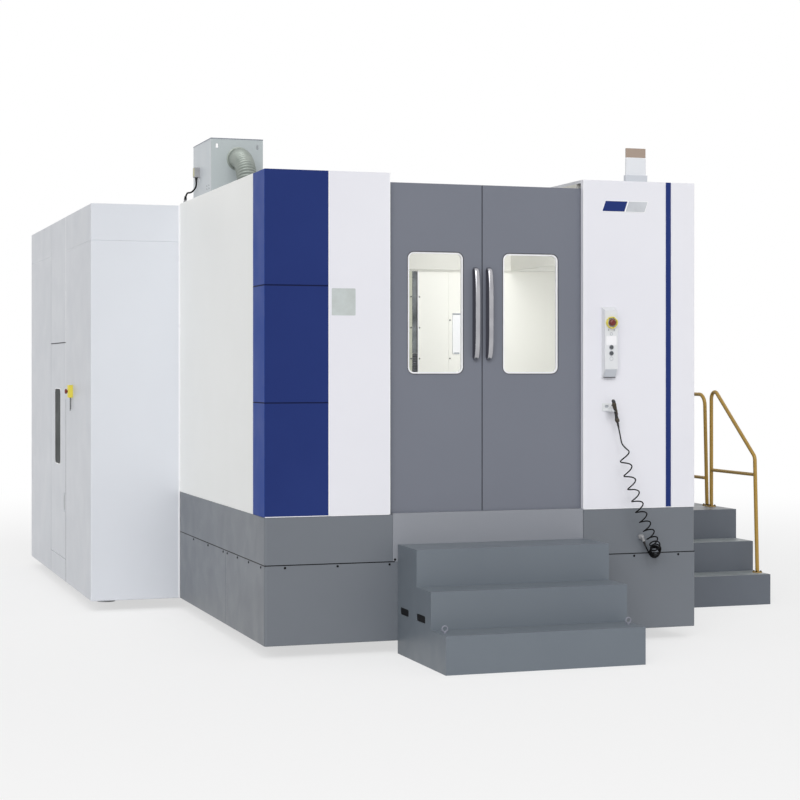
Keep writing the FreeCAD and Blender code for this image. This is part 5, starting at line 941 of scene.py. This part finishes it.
stopPlace = [(panel["face"], panel["knobs"], panel["stopHigh"])]
stopRing = [(0, 0), (0.032, 0), (0.032, 0.004), (0.018, 0.005), (0.018, 0.012), (0, 0.012)]
stopCap = [(0, 0.01), (0.012, 0.01), (0.021, 0.02), (0.022, 0.026), (0.016, 0.032), (0, 0.034)]
addTurned("pendantStopRing", "yellowPlastic", "right", stopRing, 28, stopPlace)
addTurned("pendantStop", "redPlastic", "right", stopCap, 28, stopPlace)
addRing("pendantBezel", "darkPlastic", "right", (panel["face"], *panel["screen"][1:]),
        (0.424, 0.334, 0.01, 0, 0.012, -0.001, 0.004))

# rear: vents, hinges and handle of the electrical door
rear = 6.134
slats = [("rear", (x, rear, z + 0.022 * row), 0.3, 0.01)
         for x in (1.38, 1.9) for z in (0.42, 2.02) for row in range(9)]
addFlats("electricVents", "trimGrey", slats, (0.006, 0.003, 0.003), "electric_leaf")
knuckle = [(0.003, -0.045), (0.011, -0.045), (0.011, -0.001), (0.009, 0), (0.011, 0.001), (0.011, 0.045),
           (0.003, 0.045), (0.003, -0.045)]
addTurned("electricHinges", "darkSteel", "top", knuckle, 36, [(1.04, rear, z) for z in (0.45, 1.29, 2.15)],
          "electric_leaf")
handleBase = stuck(plate(0.034, 0.17, 0.008, 0.016, 0.003, 6), (2.19, rear, 1.29), "rear")
handleLever = stuck(plate(0.022, 0.12, 0.022, 0.01, 0.004, 6), (2.19, rear + 0.006, 1.3), "rear")
addPiece("electricHandle", [handleBase, handleLever], "blackPlastic", "electric_leaf")
addRing("switchPlate", "yellowPlastic", "rear", (2.09, rear, 1.5),
        (0.088, 0.088, 0.008, 0, 0.0155, 0.0004, 0.003), "electric_leaf")

# the side door's pane, a dark sheet of painted shade, its rubber edge and its grip
addFlats("sidePane", "darkPaneShade", [("right", (3.0235, 2.5, 1.95), 0.497, 0.697)], (0.006, 0.004, 0.001),
         "side_leaf")
addRing("sidePaneEdge", "blackRubber", "right", (3.0353, 2.5, 1.95),
        (0.5, 0.7, 0.012, -0.012, 0.01, -0.0005, 0.005), "side_leaf")
grip = roundedPlate(0.029, 0.034, 0.008, [(0.001, 0), (0, 0.004), (0, 0.356), (0.001, 0.36)])
addPiece("sideGrip", [stuck(grip, (3.0978, 2.055, 1.535), "top")], "blackPlastic", "side_leaf")


def lookedAt(tree):
    # 1 where the camera, a mirror or a pane looks, 0 for the light that falls on things
    path = addNode(tree, "ShaderNodeLightPath").outputs
    seen = combined(tree, "MAXIMUM", path["Is Camera Ray"], path["Is Glossy Ray"])
    return combined(tree, "MAXIMUM", seen, path["Is Transmission Ray"])


floorPlan = {"reach": 90, "fadeFrom": 4.0, "fadeTo": 14.0, "nearWhite": 0.62, "tone": 0.86}
skyLight = 0.52


def makeStage():
    # the floor keeps the shadow close to the machine and turns to plain white further out
    mesh = bpy.data.meshes.new("floor")
    reach = floorPlan["reach"]
    mesh.from_pydata([(-reach, -reach, 0), (reach, -reach, 0), (reach, reach, 0), (-reach, reach, 0)], [],
                     [(0, 1, 2, 3)])
    floor = bpy.data.objects.new("floor", mesh)
    bpy.context.scene.collection.objects.link(floor)
    material = bpy.data.materials.new("floorWhite")
    material.use_nodes = True
    tree = material.node_tree
    tree.nodes.clear()
    where = addNode(tree, "ShaderNodeTexCoord").outputs["Object"]
    far = addNode(tree, "ShaderNodeVectorMath", {0: where}, operation="LENGTH").outputs["Value"]
    span = {"Value": far, "From Min": floorPlan["fadeFrom"], "From Max": floorPlan["fadeTo"],
            "To Min": floorPlan["nearWhite"], "To Max": 1.0}
    fade = addNode(tree, "ShaderNodeMapRange", span, interpolation_type="SMOOTHSTEP").outputs["Result"]
    share = combined(tree, "MULTIPLY", fade, lookedAt(tree))
    diffuse = addNode(tree, "ShaderNodeBsdfDiffuse", {"Color": (*[floorPlan["tone"]] * 3, 1)}).outputs[0]
    white = addNode(tree, "ShaderNodeEmission", {"Color": (1, 1, 1, 1), "Strength": 1.0}).outputs[0]
    mix = addNode(tree, "ShaderNodeMixShader", {0: share, 1: diffuse, 2: white}).outputs[0]
    addNode(tree, "ShaderNodeOutputMaterial", {"Surface": mix})
    mesh.materials.append(material)

    world = bpy.data.worlds.new("studio")
    bpy.context.scene.world = world
    world.use_nodes = True
    tree = world.node_tree
    tree.nodes.clear()
    strength = mapped(tree, lookedAt(tree), 0, 1, skyLight, 1.0)
    sky = addNode(tree, "ShaderNodeBackground", {"Color": (1, 1, 1, 1), "Strength": strength}).outputs[0]
    addNode(tree, "ShaderNodeOutputWorld", {"Surface": sky})


# kind, place, what it points at, size (a sun's is its angle) and power
lamps = {"mainLamp": ("SUN", (0.45, -10, 10.4), (1.5, 0, 1.3), 0.45, 0.72),
         "leftLamp": ("SUN", (-5.0, -10, 7.0), (1.5, 0, 1.3), 0.6, 0.95),
         "stationLamp": ("AREA", (2.2, 0.18, 2.05), (2.35, 1.3, 2.05), 1.5, 13.6),
         "machineLamp": ("AREA", (1.5, 2.6, 2.98), (1.5, 2.4, 0), 1.0, 24)}


def makeLamp(name, kind, place, aim, size, power):
    data = bpy.data.lights.new(name, kind)
    data.energy = power
    setattr(data, "angle" if kind == "SUN" else "size", size)
    lamp = bpy.data.objects.new(name, data)
    lamp.location = fromHall(place)
    lamp.rotation_mode = "QUATERNION"
    turned = frameOf(np.subtract(place, aim)).T
    lamp.rotation_quaternion = Matrix(turned.tolist()).to_quaternion()
    lamp.visible_camera = False
    bpy.context.scene.collection.objects.link(lamp)


makeStage()
for name, settings in lamps.items():
    makeLamp(name, *settings)
bpy.context.scene.view_settings.view_transform = "Standard"
print("floor and lamps set")
